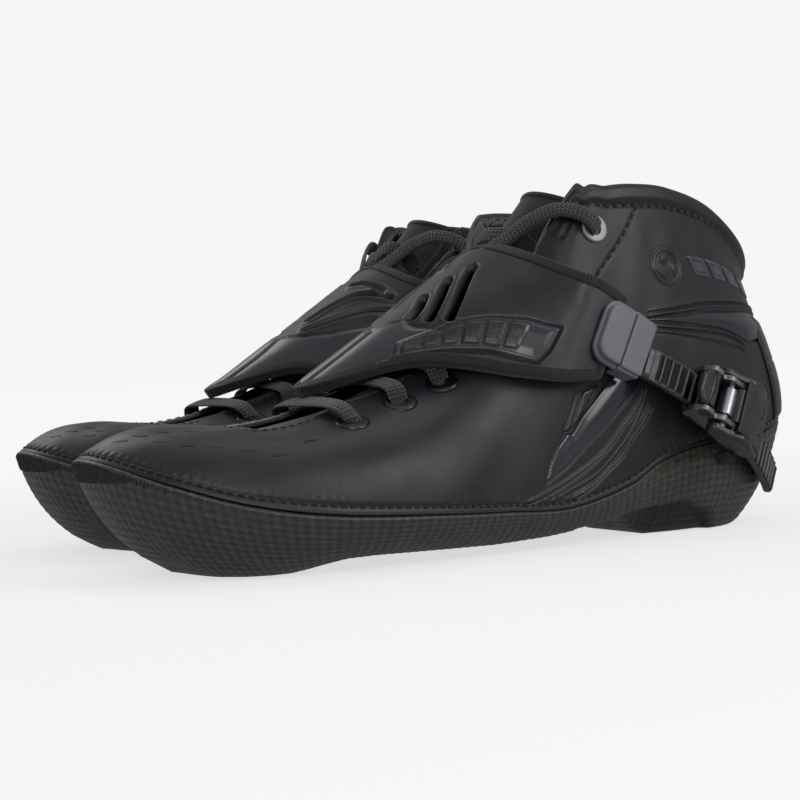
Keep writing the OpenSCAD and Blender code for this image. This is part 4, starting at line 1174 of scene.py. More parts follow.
def rounded(corners, count=7):
    """Outline with round corners, from (x, y, radius) corners in order."""
    pts = []
    n = len(corners)
    for k in range(n):
        p = np.array(corners[k][:2], float)
        r = corners[k][2]
        before, after = (np.array(corners[(k + s) % n][:2], float) for s in (-1, 1))
        d0, d1 = unit(before - p), unit(after - p)
        half = math.acos(np.clip(d0 @ d1, -1, 1)) / 2
        reach = min(r / math.tan(half), np.linalg.norm(before - p) * 0.49,
                    np.linalg.norm(after - p) * 0.49)
        a, b = p + d0 * reach, p + d1 * reach
        f = np.linspace(0, 1, count)[:, None]
        w = 2 * math.sin(half) * f * (1 - f)
        pts.append(((1 - f) ** 2 * a + w * p + f ** 2 * b) / ((1 - f) ** 2 + w + f ** 2))
    return np.concatenate(pts)


def inset(outline, amount):
    """Outline moved inwards along its corner normals."""
    nxt, prv = np.roll(outline, -1, 0), np.roll(outline, 1, 0)
    t = unit(nxt - prv)
    area = np.sum(outline[:, 0] * nxt[:, 1] - nxt[:, 0] * outline[:, 1])
    n = np.stack([-t[:, 1], t[:, 0]], -1) * (1 if area > 0 else -1)
    return outline + n * amount


def puck(soup, outline, lo, hi, round_lo, round_hi, to_boot, axis="n"):
    """Solid with an outline in two axes of a frame, from lo to hi along the third, rims rounded.
    axis names the third one: "n" puts the outline in (u, w), "w" puts it in (u, n)."""
    middle = outline.mean(0)
    low_edge, high_edge = inset(outline, round_lo), inset(outline, round_hi)
    layers = [(middle + (low_edge - middle) * k, lo) for k in (0.2, 0.6, 0.94)]
    for a in np.linspace(0, np.pi / 2, 5):
        layers.append((inset(outline, round_lo * (1 - math.sin(a))),
                       lo + round_lo * (1 - math.cos(a))))
    for a in np.linspace(np.pi / 2, 0, 5):
        layers.append((inset(outline, round_hi * (1 - math.sin(a))),
                       hi - round_hi * (1 - math.cos(a))))
    layers += [(middle + (high_edge - middle) * k, hi) for k in (0.94, 0.8, 0.5, 0.2)]
    order = [0, 1, 2] if axis == "n" else [0, 2, 1]
    soup.tube(np.array([to_boot(np.column_stack([ring, np.full(len(ring), x)])[:, order])
                        for ring, x in layers]))


def clamp_mesh(soup):
    """Round-nosed lid on a lip, and the flat body behind it."""
    lid = rounded([(-19.3, -10.9, 6.5), (-8.5, -10.9, 1.2), (-8.5, 10.9, 1.2), (-19.3, 10.9, 6.5)],
                  12)
    puck(soup, lid, 1.0, 5.0, 0.3, 0.9, in_clamp)
    lip = rounded([(-20.2, -12.2, 7.4), (-8.3, -12.2, 1.0), (-8.3, 12.2, 1.0), (-20.2, 12.2, 7.4)],
                  12)
    puck(soup, lip, 0.75, 2.6, 0.4, 0.6, in_clamp)
    body = rounded([(-8.1, -10.9, 0.9), (1.3, -10.4, 1.2), (1.3, 10.4, 1.2), (-8.1, 10.9, 0.9)], 8)
    puck(soup, body, 1.0, 4.7, 0.3, 0.6, in_clamp)
    for sign in (-1, 1):
        wall = rounded([(-8.3, sign * 12.0, 0.9), (1.0, sign * 11.3, 0.9), (1.0, sign * 9.7, 0.5),
                        (-8.3, sign * 10.1, 0.5)], 6)
        puck(soup, wall, BAR_BOTTOM - 1.6, 3.4, 0.3, 0.5, in_clamp)


def cheek_outline():
    return rounded([(-11.6, FLOOR_TOP - FLOOR_T + 0.2, 2.2), (11.6, FLOOR_TOP - FLOOR_T + 0.2, 2.2),
                    (11.9, 0.8, 2.5),
                    (6.0, 7.4, 3.2), (-2.5, 7.6, 3.0), (-4.2, 4.6, 1.6), (-6.0, 6.1, 1.8),
                    (-10.6, 6.1, 2.2), (-12.2, 1.5, 2.4)], 9)


def buckle_mesh(soup):
    """Floor plate, its boss and two small round bosses for the lock pin at the cheeks' outer faces.
    """
    floor = rounded([(-12, -CHEEK_OUT, 3.2), (12, -CHEEK_OUT, 3.2), (12, CHEEK_OUT, 3.2),
                     (-12, CHEEK_OUT, 3.2)], 8)
    puck(soup, floor, FLOOR_TOP - FLOOR_T, FLOOR_TOP, 0.6, 0.2, at_buckle)
    puck(soup, circle(6), FLOOR_TOP - FLOOR_T - BOSS_H, FLOOR_TOP - FLOOR_T + 0.3, 0.5, 0.1,
         at_buckle)
    for sign in (-1, 1):
        puck(soup, circle(2.5, at=LOCK_PIN), sign * CHEEK_OUT - 0.2, sign * CHEEK_OUT + 0.5, 0.2,
             0.2, at_buckle, "w")


def cheeks_mesh(soup):
    """The two upright plates that carry the pins."""
    for lo, hi in ((CHANNEL_IN, CHEEK_OUT), (-CHEEK_OUT, -CHANNEL_IN)):
        puck(soup, cheek_outline(), lo, hi, 0.4, 0.4, at_buckle, "w")


def lever_outline():
    return rounded([(-4.2, 0.2, 3.0), (5.0, -1.0, 3.0), (13.5, -0.6, 4.0), (18.6, 2.0, 3.4),
                    (18.4, 6.4, 3.0),
                    (13.0, 9.0, 4.0), (8.0, 9.6, 3.5), (2.6, 6.6, 4.0), (-3.6, 5.2, 2.6)], 10)


def lever_mesh(soup):
    """Two bulging arms, the smooth plate between them and its slotted end."""
    inside, outside = ARM_IN + 0.7, ARM_OUT + 1.9
    for lo, hi, r_lo, r_hi in ((inside, outside, 0.4, 1.5), (-outside, -inside, 1.5, 0.4)):
        puck(soup, lever_outline(), lo, hi, r_lo, r_hi, at_buckle, "w")
    cover = rounded([(4.3, 9.0, 0.4), (9.0, 8.9, 2.0), (13.6, 7.2, 2.0), (19.6, 4.4, 0.8),
                     (20.6, 5.4, 0.9),
                     (19.4, 7.0, 1.2), (13.8, 8.7, 2.0), (9.2, 9.8, 2.0), (4.5, 9.8, 0.3)], 6)
    puck(soup, cover, -inside - 0.4, inside + 0.4, 0.2, 0.2, at_buckle, "w")
    for w in (-3.6, 3.6):
        rim = rounded([(15.4, w - 2.1, 0.5), (17.4, w - 2.1, 0.5), (17.4, w + 2.1, 0.5),
                       (15.4, w + 2.1, 0.5)], 4)
        puck(soup, rim, 7.0, 8.3, 0.1, 0.25, at_buckle)


def pin_mesh(soup):
    """Lever pin inside the arms, with the roller between the cheeks."""
    puck(soup, circle(LEVER_PIN_R, at=LEVER_PIN), -ARM_OUT, ARM_OUT, 0.2, 0.2, at_buckle, "w")
    puck(soup, circle(2.7, at=LEVER_PIN), -5.6, 5.6, 0.4, 0.4, at_buckle, "w")


def tab_mesh(soup):
    """Release tab: the lock pawl's block and its curved thumb flange."""
    puck(soup, circle(2.9, 32, LOCK_PIN), -CHANNEL_IN + 0.5, CHANNEL_IN - 0.5, 0.3, 0.3, at_buckle,
         "w")
    nose = rounded([(-9.5, 1.2, 0.4), (-6.0, 0.4, 0.3), (-4.8, 0.4, 0.3), (-5.4, 2.6, 0.6),
                    (-8.0, 4.2, 0.5)], 4)
    puck(soup, nose, -CHANNEL_IN + 0.6, CHANNEL_IN - 0.6, 0.15, 0.15, at_buckle, "w")
    # Thumb flange: a lens across the ladder with a raised lip towards the lever
    flange = rounded([(-15.2, -3.4, 3.0), (-12.4, -7.2, 2.4), (-9.2, -7.4, 1.2), (-8.6, 0, 14.0),
                      (-9.2, 7.4, 1.2), (-12.4, 7.2, 2.4), (-15.2, 3.4, 3.0)], 8)
    puck(soup, flange, 3.4, 6.2, 0.8, 1.1, at_buckle)
    lip = rounded([(-9.9, -7.2, 0.3), (-8.8, -6.8, 0.3), (-8.2, 0, 14.0), (-8.8, 6.8, 0.3),
                   (-9.9, 7.2, 0.3), (-9.2, 0, 14.0)], 6)
    puck(soup, lip, 4.4, 7.0, 0.2, 0.25, at_buckle)


def stud_mesh(soup):
    """Small rough stud on the shell below the lever."""
    puck(soup, circle(2.6, 24, (14.5, -14.0)), -7.5, -0.5, 0.8, 0.8, at_buckle)


def ladder_mesh(soup):
    """Toothed strip along the arc, with soft long edges and a round tail."""
    half = LADDER_W / 2
    s = np.concatenate([np.arange(FRONT_S - 6, TAIL_S, 0.24),
                        TAIL_S + half * np.sin(np.linspace(0, np.pi / 2, 26))])
    reach = np.clip((s - TAIL_S) / half, 0, 1)
    wide = np.maximum(np.sqrt(1 - reach ** 2), 0.02)
    phase = np.mod(s - (FRONT_S + 11) + TOOTH_PITCH / 2, TOOTH_PITCH) - TOOTH_PITCH / 2
    tooth = smooth_step((0.75 - np.abs(phase)) / 0.45) * (s > FRONT_S + 9.5) * (s < TAIL_S + 4.5)
    tooth = np.maximum(tooth, smooth_step((1.5 - np.abs(s - FRONT_S - 5.1)) / 0.4))
    edge = 0.55
    flat = np.linspace(-1, 1, 15)
    ring = [(-half + edge * (1 - math.cos(a)), BAR_BOTTOM + edge * (1 - math.sin(a)), 0)
            for a in np.linspace(np.pi / 2, 0, 4)]
    ring = ring[::-1] + [(half - (w + half), n, k) for w, n, k in ring]
    rise = [(half - edge * (1 - math.cos(a)), BAR_TOP - edge * (1 - math.sin(a)), 0)
            for a in np.linspace(0, np.pi / 2, 4)]
    top = [(-x * (half - edge), BAR_TOP, float(abs(x) < 0.93)) for x in flat]
    ring += rise + top + [(-w, n, k) for w, n, k in rise[::-1]]
    ring = np.array(ring)
    p = np.zeros((len(s), len(ring), 3))
    p[..., 1] = ring[None, :, 0] * wide[:, None]
    p[..., 2] = ring[None, :, 1] + ring[None, :, 2] * tooth[:, None] * TOOTH_H
    points = in_arc(np.repeat(s[:, None], len(ring), 1), p)
    toothed = (s > FRONT_S + 9.0) & (s < TAIL_S + 5)
    # Painted light: the tooth crests get a painted highlight (positive values) and the valleys
    # between teeth painted shade (-1)
    crest = 0.55 * tooth - 1.0 * (1 - tooth) * toothed
    soup.tube(points, value=crest[:, None] * (ring[:, 2] > 0)[None, :])

# === Materials


class Finish:
    """One procedural material. Sockets are passed around as values."""

    def __init__(self, name, colour, roughness, metallic=0.0, specular=0.5):
        self.mat = bpy.data.materials.new(name)
        self.mat.use_nodes = True
        self.tree = self.mat.node_tree
        self.shader = self.tree.nodes["Principled BSDF"]
        self.put(self.shader, "Base Color", (*colour, 1))
        self.put(self.shader, "Roughness", roughness)
        self.put(self.shader, "Metallic", metallic)
        self.put(self.shader, "Specular IOR Level", specular)
        self.mat.diffuse_color = (*colour, 1)

    def put(self, node, name, value):
        """Sets an input, or links it if value is a socket."""
        if isinstance(value, bpy.types.NodeSocket):
            self.tree.links.new(value, node.inputs[name])
        else:
            node.inputs[name].default_value = value

    def node(self, kind, props=None, **inputs):
        n = self.tree.nodes.new("ShaderNode" + kind)
        for key, value in (props or {}).items():
            setattr(n, key, value)
        for key, value in inputs.items():
            self.put(n, key.replace("_", " "), value)
        return n

    def coords(self, kind="Object"):
        return self.node("TexCoord").outputs[kind]

    def noise(self, scale, detail=3.0, rough=0.5, stretch=None):
        where = self.coords()
        if stretch:
            where = self.node("Mapping", Vector=where, Scale=stretch).outputs[0]
        return self.node("TexNoise", Vector=where, Scale=scale, Detail=detail,
                         Roughness=rough).outputs["Fac"]

    def cells(self, scale, feature="F1", rand=1.0):
        n = self.node("TexVoronoi", {"feature": feature}, Vector=self.coords(), Scale=scale,
                      Randomness=rand)
        return n.outputs["Distance"]

    def math(self, operation, a, b=0.0):
        n = self.node("Math", {"operation": operation})
        for k, value in enumerate((a, b)):
            self.put(n, k, value)
        return n.outputs[0]

    def times(self, a, b):
        return self.math("MULTIPLY", a, b)

    def plus(self, a, b):
        return self.math("ADD", a, b)

    def minus(self, a, b):
        return self.math("SUBTRACT", a, b)

    def spread(self, noise, lo, hi):
        """Noise, which mostly lies between 0.3 and 0.7, brought to a range."""
        return self.remap(noise, 0.3, 0.7, lo, hi)

    def remap(self, value, lo, hi, to_lo, to_hi):
        return self.node("MapRange", Value=value, From_Min=lo, From_Max=hi, To_Min=to_lo,
                         To_Max=to_hi).outputs[0]

    def mix(self, factor, a, b):
        n = self.node("Mix", {"data_type": "RGBA"})
        for k, value in ((0, factor), (6, a), (7, b)):
            self.put(n, k, (*value, 1) if isinstance(value, tuple) else value)
        return n.outputs[2]

    def uv_axes(self):
        n = self.node("SeparateXYZ", Vector=self.coords("UV"))
        return n.outputs[0], n.outputs[1]

    def attribute(self, name):
        return self.node("Attribute", {"attribute_name": name}).outputs["Fac"]

    def bump(self, height, distance_mm, strength=1.0):
        """Adds a bump layer over the ones already there."""
        n = self.node("Bump", Height=height, Distance=distance_mm * MM, Strength=strength)
        old = self.shader.inputs["Normal"]
        if old.is_linked:
            self.tree.links.new(old.links[0].from_socket, n.inputs["Normal"])
        self.put(self.shader, "Normal", n.outputs[0])

    def colour(self, value):
        self.put(self.shader, "Base Color", value)

    def rough(self, value):
        self.put(self.shader, "Roughness", value)


def leather(name="leather", film_roughness=0.17):
    """Satin black synthetic leather. Its per-point value gives patent gloss up to 1, a painted
    highlight on crests above 1 and painted shade in crevices below 0.
    """
    f = Finish(name, (0.012, 0.012, 0.013), 0.42)
    film = f.attribute("film")
    gloss = f.remap(film, 0, 1, 0, 1)
    painted_crest_highlight = f.remap(film, 1.0, 1.6, 0, 1)
    painted_crevice_shade = f.math("MAXIMUM", f.times(film, -1.0), 0.0)
    tone = f.noise(90, 4)
    dust = f.noise(1500, 2)
    base = f.mix(f.spread(tone, 0, 1), (0.0095, 0.0104, 0.0133), (0.0145, 0.0157, 0.0195))
    base = f.mix(gloss, base, (0.015, 0.017, 0.022))
    # Painted highlight: where the value goes above 1 the colour is lightened along crests and lips
    base = f.mix(painted_crest_highlight, base, (0.13, 0.138, 0.165))
    # Painted shade: where the value is below 0 the colour goes almost black and the specular drops,
    # in creases and grooves
    f.colour(f.mix(painted_crevice_shade, base, (0.0006, 0.0006, 0.0008)))
    satin = f.plus(f.spread(tone, 0.40, 0.48), f.spread(dust, -0.03, 0.03))
    f.rough(f.plus(f.times(satin, f.minus(1.0, gloss)),
                   f.times(gloss, film_roughness)))
    f.put(f.shader, "Specular IOR Level", f.minus(f.remap(gloss, 0, 1, 0.4, 0.75),
                                                  f.times(painted_crevice_shade, 0.45)))
    calm = f.minus(1.0, f.times(gloss, 0.85))
    f.bump(f.times(f.cells(1700), calm), 0.035, 0.5)
    f.bump(f.times(f.noise(420, 4, 0.6), calm), 0.09, 0.35)
    return f.mat


def ribbed(name="ladder_plastic"):
    """Moulded strip with a painted highlight on the rib crests and painted shade in the valleys: its
    value is 1 on a crest, -1 in a valley.
    """
    f = Finish(name, (0.018, 0.018, 0.020), 0.4)
    film = f.attribute("film")
    # Painted shade in the valleys and a painted highlight on the crests; the valleys also lose
    # specular
    f.colour(f.mix(f.remap(film, -1, 0, 0, 1), (0.002, 0.002, 0.002),
                   f.mix(f.remap(film, 0, 1, 0, 1), (0.016, 0.016, 0.018), (0.075, 0.075, 0.082))))
    f.put(f.shader, "Specular IOR Level", f.remap(film, -1, 0, 0.1, 0.5))
    f.rough(f.spread(f.noise(260, 4), 0.34, 0.46))
    f.bump(f.noise(2200, 3), 0.03, 0.6)
    return f.mat


def carbon(name="carbon"):
    """Carbon laminate: twill tows under a thin satin resin, with random dark specks and paler
    patches, and painted shade in the recess under the heel.
    """
    f = Finish(name, (0.03, 0.03, 0.03), 0.42)
    u, v = f.uv_axes()
    step = math.pi / (2 * TOW)
    a = f.math("SINE", f.times(f.plus(u, v), step))
    b = f.math("SINE", f.times(f.minus(u, v), step))
    tows = f.times(a, b)
    fibres = f.math("SINE", f.times(f.plus(u, f.times(v, 0.35)), 21.0))
    tone = f.noise(160, 5, 0.7)
    speck = f.noise(1300, 3, 0.7)
    base = f.mix(f.remap(tows, -1, 1, 0, 1), (0.014, 0.0135, 0.0125), (0.075, 0.073, 0.069))
    base = f.mix(f.remap(tone, 0.35, 0.65, 0, 0.7), base, (0.036, 0.035, 0.033))
    base = f.mix(f.remap(speck, 0.42, 0.7, 0, 0.75), base, (0.012, 0.012, 0.011))
    # Painted shade: the recess under the heel's sides is darkened almost to black
    f.colour(f.mix(f.remap(f.attribute("film"), -0.1, -0.7, 0, 1), base, (0.0015, 0.0015, 0.0015)))
    f.rough(f.plus(f.remap(tows, -1, 1, 0.56, 0.36), f.spread(tone, -0.04, 0.06)))
    f.bump(fibres, 0.02, 0.35)
    f.bump(tows, 0.05, 0.6)
    return f.mat


def textile(name, colour, other, scale=1300, roughness=0.92, bump_mm=0.25, sheen=0.5):
    """Brushed or fuzzy fabric."""
    f = Finish(name, colour, roughness, specular=0.2)
    fine = f.noise(scale, 5, 0.7)
    broad = f.noise(scale / 9, 3)
    f.colour(f.mix(f.times(f.spread(fine, 0, 1), f.spread(broad, 0.5, 1)), colour, other))
    f.put(f.shader, "Sheen Weight", sheen)
    f.put(f.shader, "Sheen Roughness", 0.6)
    f.bump(fine, bump_mm, 0.8)
    return f.mat


def braid(name, colour, other, pitch=1.5, across=0.9, bump_mm=0.22):
    """Flat braid: slanted yarns that meet along the middle, from uv in millimetres."""
    f = Finish(name, colour, 0.75, specular=0.3)
    u, v = f.uv_axes()
    zig = f.math("PINGPONG", v, across)
    yarn = f.math("SINE", f.times(f.plus(u, zig), 2 * math.pi / pitch))
    cross = f.math("SINE", f.times(v, math.pi / across))
    height = f.times(f.plus(yarn, 1.0), f.plus(f.math("ABSOLUTE", cross), 0.35))
    fuzz = f.noise(2600, 3, 0.7)
    f.colour(f.mix(f.times(f.remap(height, 0.2, 2.4, 0, 1), f.spread(fuzz, 0.5, 1)), colour, other))
    f.put(f.shader, "Sheen Weight", 0.3)
    f.bump(height, bump_mm, 0.8)
    f.bump(fuzz, 0.05, 0.5)
    return f.mat


def moulded(name, colour, roughness=0.38, grain=0.03, scale=2200, wear=0.02):
    """Injection-moulded plastic with a fine spark texture and random lighter patches of wear."""
    f = Finish(name, colour, roughness)
    tone = f.noise(70, 3)
    rubbed = tuple(min(c + wear, 1) for c in colour)
    f.colour(f.mix(f.remap(tone, 0.35, 0.7, 0, 1), colour, rubbed))
    f.rough(f.spread(f.noise(260, 4), roughness - 0.05, roughness + 0.07))
    f.bump(f.noise(scale, 3), grain, 0.6)
    return f.mat


def metal(name, colour, roughness, scratch=0.03, stretch=(40, 1, 1)):
    """Polished or brushed metal with faint scratches."""
    f = Finish(name, colour, roughness, metallic=1.0)
    lines = f.noise(900, 3, 0.6, stretch=stretch)
    smudge = f.noise(150, 3)
    f.rough(f.plus(f.spread(lines, roughness - scratch, roughness + scratch),
                   f.remap(smudge, 0.35, 0.7, 0.0, 0.08)))
    f.bump(lines, 0.012, 0.4)
    return f.mat


def gritty(name, colour, other):
    """Rough rubber patch."""
    f = Finish(name, colour, 0.85, specular=0.25)
    grain = f.cells(900)
    f.colour(f.mix(f.remap(grain, 0.1, 0.6, 0, 1), colour, other))
    f.bump(grain, 0.35, 0.8)
    f.bump(f.noise(3000, 3, 0.7), 0.1, 0.6)
    return f.mat


def perforated(name):
    """Black insole cloth with a fine plain weave."""
    f = Finish(name, (0.02, 0.02, 0.022), 0.9, specular=0.2)
    u, v = f.uv_axes()
    wave = f.times(f.math("SINE", f.times(u, 5.0)), f.math("SINE", f.times(v, 5.0)))
    f.colour(f.mix(f.remap(wave, -1, 1, 0, 1), (0.012, 0.012, 0.013), (0.034, 0.034, 0.037)))
    f.bump(wave, 0.12, 0.7)
    f.put(f.shader, "Sheen Weight", 0.4)
    return f.mat


FINISHES = {
    "leather": leather(),
    "strap": leather("strap", 0.27),
    "carbon": carbon(),
    "lining": textile("lining", (0.007, 0.007, 0.0075), (0.024, 0.024, 0.026), sheen=0.25),
    "tongue": textile("tongue", (0.006, 0.006, 0.0065), (0.02, 0.02, 0.021), 1700, sheen=0.2),
    "felt": textile("felt", (0.12, 0.12, 0.12), (0.95, 0.95, 0.95), 2400, 0.95, 0.3, 0.5),
    "fibre": textile("fibre", (0.02, 0.016, 0.009), (0.16, 0.11, 0.045), 700, 0.7, 0.05, 0.0),
    "frayed": textile("frayed", (0.12, 0.12, 0.12), (0.55, 0.55, 0.55), 1500, 0.95, 0.2, 0.3),
    "lace": braid("lace", (0.005, 0.005, 0.0055), (0.022, 0.022, 0.024)),
    "thread": braid("thread", (0.006, 0.006, 0.006), (0.02, 0.02, 0.022), 0.6, 0.4, 0.06),
    "binding": braid("binding", (0.004, 0.004, 0.004), (0.017, 0.017, 0.019), 1.1, 900.0, 0.2),
    "gloss_plastic": moulded("gloss_plastic", (0.003, 0.003, 0.0033), 0.3, 0.02, 900, 0.004),
    "moulded_black": moulded("moulded_black", (0.009, 0.009, 0.0105), 0.35, 0.02),
    "clamp_plastic": moulded("clamp_plastic", (0.12, 0.124, 0.145), 0.42, 0.04, 2800, 0.015),
    "ladder_plastic": ribbed(),
    "grey_metal": metal("grey_metal", (0.2, 0.2, 0.215), 0.42, 0.05),
    "toe_rubber": gritty("toe_rubber", (0.006, 0.006, 0.006), (0.03, 0.03, 0.03)),
    "footbed": perforated("footbed"),
    "black_metal": metal("black_metal", (0.05, 0.05, 0.052), 0.32),
    "polished_steel": metal("polished_steel", (0.27, 0.27, 0.28), 0.5),
    "steel": metal("steel", (0.52, 0.52, 0.53), 0.3),
    "insert_steel": metal("insert_steel", (0.62, 0.61, 0.58), 0.33),
    "pawl_metal": metal("pawl_metal", (0.42, 0.42, 0.45), 0.36, 0.05, (1, 1, 40)),
}

# === The pair


def mesh_piece(boot, name, makers, finish, attribute):
    soup = Soup()
    for make in makers:
        make(soup)
    return soup.build(boot, f"{boot.name}_{name}", FINISHES[finish], attribute)


def eyelet_mesh(places, outer_r, hole_r, proud):
    def make(soup):
        for t, v in places:
            eyelet_ring(soup, t, v, outer_r, hole_r, proud)
    return make


def build_boot(boot):
    lower = [p for t, v in LOWER_EYELETS for p in ((t, v), (STATIONS - t, v))]
    top = [TOP_EYELET, (STATIONS - TOP_EYELET[0], TOP_EYELET[1])]
    for name, makers, finish, node, body, attribute in (
            ("leather_upper", [upper_mesh], "leather", "upper", "boot", "film"),
            ("upper_stitching", [upper_stitching, slot_threads], "thread", None, "boot", None),
            ("throat_edge", [throat_edge], "frayed", None, "boot", None),
            ("carbon_base", [shell_mesh], "carbon", "carbon_shell", "boot", "film"),
            ("carbon_fray", [carbon_fray], "fibre", None, "boot", None),
            ("padded_lining", [lining_mesh], "lining", "lining", "boot", None),
            ("ribbed_heel_counter", [counter_mesh], "gloss_plastic", "heel_counter", "boot", None),
            ("toe_patch", [bumper_mesh], "toe_rubber", "toe_bumper", "boot", None),
            ("toe_thread_ends", [whiskers], "thread", None, "boot", None),
            ("insole", [footbed_mesh], "footbed", "footbed", "boot", None),
            ("padded_tongue", [tongue_mesh], "tongue", "tongue", "boot", None),
            ("tongue_edging", [tongue_edging], "binding", None, "boot", None),
            ("tongue_strip", [tongue_strip, tongue_toe], "felt", None, "boot", None),
            ("lower_eyelet_rings", [eyelet_mesh(lower, 5.8, 2.3, 0.7)], "black_metal", "eyelets",
             "boot", None),
            ("top_eyelet_rings", [eyelet_mesh(top, 5.4, 2.4, 0.8)], "polished_steel", "top_eyelets",
             "boot", None),
            ("flat_lace", [lace_mesh], "lace", "lace", "boot", None),
            ("clamp_shell", [clamp_mesh], "clamp_plastic", "clamp_cover", "strap_ladder", None),
            ("toothed_ladder", [ladder_mesh], "ladder_plastic", "ladder", "strap_ladder", "film"),
            ("buckle_body", [buckle_mesh], "moulded_black", "buckle_base", "boot", None),
            ("buckle_cheeks", [cheeks_mesh], "grey_metal", None, "boot", None),
            ("buckle_stud", [stud_mesh], "toe_rubber", None, "boot", None),
            ("ratchet_lever", [lever_mesh], "moulded_black", "lever", "lever", None),
            ("lever_pin_roller", [pin_mesh], "pawl_metal", "lever_pin", "boot", None),
            ("release_tab", [tab_mesh], "moulded_black", "lock_pawl", "lock_pawl", None)):
        obj = mesh_piece(boot, name, makers, finish, attribute)
        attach(obj, boot.body(body))
        if node:
            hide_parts(f"{boot.name}_{node}")
    for name, makers, finish, node, attribute in (
            ("instep_strap", [strap_mesh], "strap", "strap_pad", "film"),
            ("strap_edge_binding", [binding_mesh, binding_corner], "binding", "strap_binding",
             None)):
        obj = mesh_piece(boot, name, makers, finish, attribute)
        start = boot.place(strap(np.array(0.3), np.array(0.5)))
        end = boot.place(strap(np.array(0.86), np.array(0.5)))
        boot.body()
        boot.body("strap_ladder")
        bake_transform(obj)
        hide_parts(f"{boot.name}_{node}")


CAD_FINISH = {
    "front_insert": "insert_steel", "heel_insert": "insert_steel", "strap_anchor": "black_metal",
    "clamp_base": "moulded_black", "clamp_screws": "steel", "buckle_screw": "steel",
    "buckle_nut": "steel",
    "drive_pawl": "moulded_black", "drive_pawl_pin": "steel",
    "drive_spring": "steel", "lock_pawl_pin": "polished_steel", "lock_spring": "steel",
}
BEVEL = {"clamp_base": 0.3, "drive_pawl": 0.35, "strap_anchor": 0.3, "front_insert": 0.2,
         "heel_insert": 0.2}


def finish_cad_nodes(boot):
    """Materials and softened edges for the mechanical parts that stay as they were designed."""
    for part, finish in CAD_FINISH.items():
        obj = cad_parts[f"{boot.name}_{part}"]
        obj.data.materials.clear()
        obj.data.materials.append(FINISHES[finish])
        for p in obj.data.polygons:
            p.use_smooth = True
        if part in BEVEL:
            m = obj.modifiers.new("soft_edges", "BEVEL")
            m.width = BEVEL[part] * MM
            m.segments = 3
            m.limit_method = "ANGLE"
            m.angle_limit = math.radians(40)
            m.use_clamp_overlap = True
            m.harden_normals = True
        else:
            with_edges = obj.modifiers.new("sharp_edges", "EDGE_SPLIT")
            with_edges.split_angle = math.radians(35)


BOOTS = [Boot("left", False), Boot("right", True)]
for one in BOOTS:
    build_boot(one)
    finish_cad_nodes(one)

# === Floor, light and camera


def disc(name, radius, z, material):
    bm = bmesh.new()
    bmesh.ops.create_circle(bm, cap_ends=True, segments=96, radius=radius)
    mesh = bpy.data.meshes.new(name)
    bm.to_mesh(mesh)
    bm.free()
    obj = bpy.data.objects.new(name, mesh)
    obj.location = (0, 0, z)
    mesh.materials.append(material)
    bpy.context.scene.collection.objects.link(obj)
    return obj


def area_light(name, at, target, size, power):
    data = bpy.data.lights.new(name, "AREA")
    data.shape = "DISK"
    data.size = size
    data.energy = power
    obj = bpy.data.objects.new(name, data)
    obj.location = at
    obj.rotation_euler = (Vector(target) - Vector(at)).to_track_quat("-Z", "Y").to_euler()
    bpy.context.scene.collection.objects.link(obj)


lo, hi = cad_box
centre = (lo + hi) / 2
FLOOR_TONE, BACKDROP = 0.3, 0.93


def seen_by_camera(tree, seen, unseen):
    """Value that differs between what the camera sees directly and what lights the scene."""
    path = tree.nodes.new("ShaderNodeLightPath")
    pick = tree.nodes.new("ShaderNodeMapRange")
    tree.links.new(path.outputs["Is Camera Ray"], pick.inputs["Value"])
    pick.inputs["To Min"].default_value, pick.inputs["To Max"].default_value = unseen, seen
    return pick.outputs[0]


paper = Finish("floor", (FLOOR_TONE, FLOOR_TONE, FLOOR_TONE), 0.95, specular=0.0)
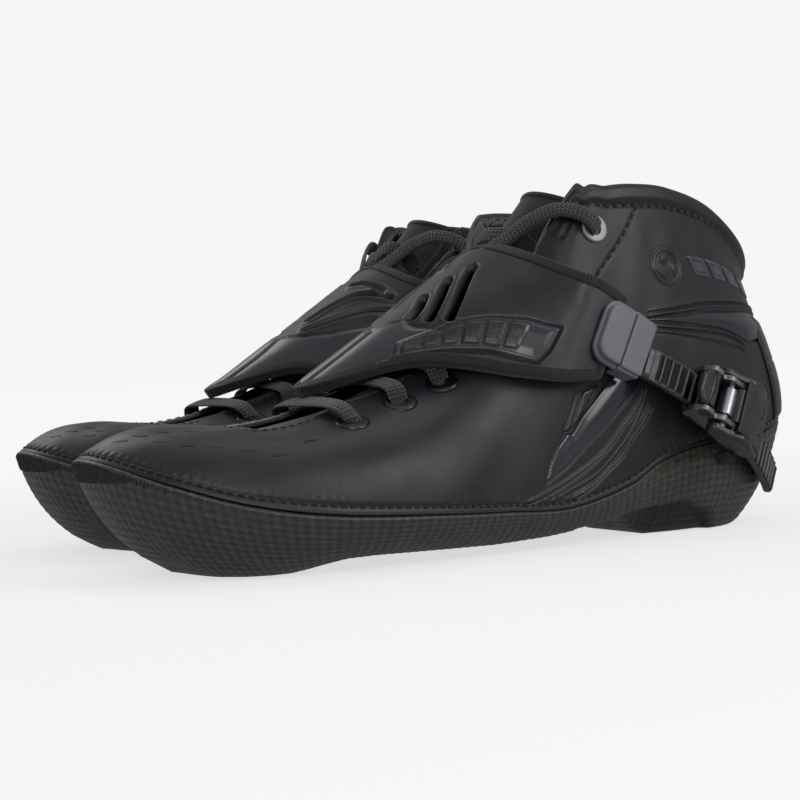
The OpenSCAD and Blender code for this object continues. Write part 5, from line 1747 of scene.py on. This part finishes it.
# Away from the boots the paper fades into the backdrop
away = paper.node("VectorMath", {"operation": "LENGTH"}, Vector=paper.coords()).outputs["Value"]
fade = paper.remap(away, 0.3, 0.75, 0, 1)
paper.colour(paper.mix(fade, (FLOOR_TONE, FLOOR_TONE, FLOOR_TONE), (0, 0, 0)))
paper.rough(paper.remap(paper.noise(3, 2), 0.3, 0.7, 0.93, 0.97))
paper.put(paper.shader, "Emission Color", (1, 1, 1, 1))
glow = paper.remap(fade, 0, 1, 0.67, BACKDROP)
paper.put(paper.shader, "Emission Strength", paper.math("MULTIPLY", glow,
                                                        seen_by_camera(paper.tree, 1.0, 0.3)))
disc("floor", 40.0, lo.z - 0.0002, paper.mat)

world = bpy.data.worlds.new("studio")
world.use_nodes = True
tree = world.node_tree
background = tree.nodes["Background"]
background.inputs["Color"].default_value = (0.985, 0.99, 1.0, 1)
tree.links.new(seen_by_camera(tree, BACKDROP, 0.34), background.inputs["Strength"])
bpy.context.scene.world = world

area_light("top", centre + Vector((-0.1, 0.25, 1.2)), centre, 0.8, 1.6)
area_light("far", centre + Vector((-1.1, -0.25, 0.85)), centre, 0.8, 3)
area_light("side", centre + Vector((1.0, 0.55, 0.6)), centre, 0.7, 5)
area_light("camera_side", centre + Vector((0.9, -0.5, 0.45)), centre, 0.6, 3)

bpy.context.scene.view_settings.view_transform = "Standard"

# Low three-quarter view from the outer side of the left boot
CAMERA_AT = (0.500, -0.2177, 0.065)
AZIMUTH, PITCH, ROLL, LENS = 60.0, -0.94, -2.34, 71.5
camera_data = bpy.data.cameras.new("camera")
camera_data.lens = LENS
camera_data.sensor_width = 36
camera_data.clip_start = 0.01
camera = bpy.data.objects.new("camera", camera_data)
a, p = math.radians(AZIMUTH), math.radians(PITCH)
look = Vector((-math.sin(a) * math.cos(p), math.cos(a) * math.cos(p), math.sin(p)))
right = look.cross(Vector((0, 0, 1))).normalized()
up = right.cross(look)
r = math.radians(ROLL)
right, up = right * math.cos(r) + up * math.sin(r), up * math.cos(r) - right * math.sin(r)
camera.matrix_world = Matrix((right, up, -look)).transposed().to_4x4()
camera.location = CAMERA_AT
bpy.context.scene.collection.objects.link(camera)
bpy.context.scene.camera = camera
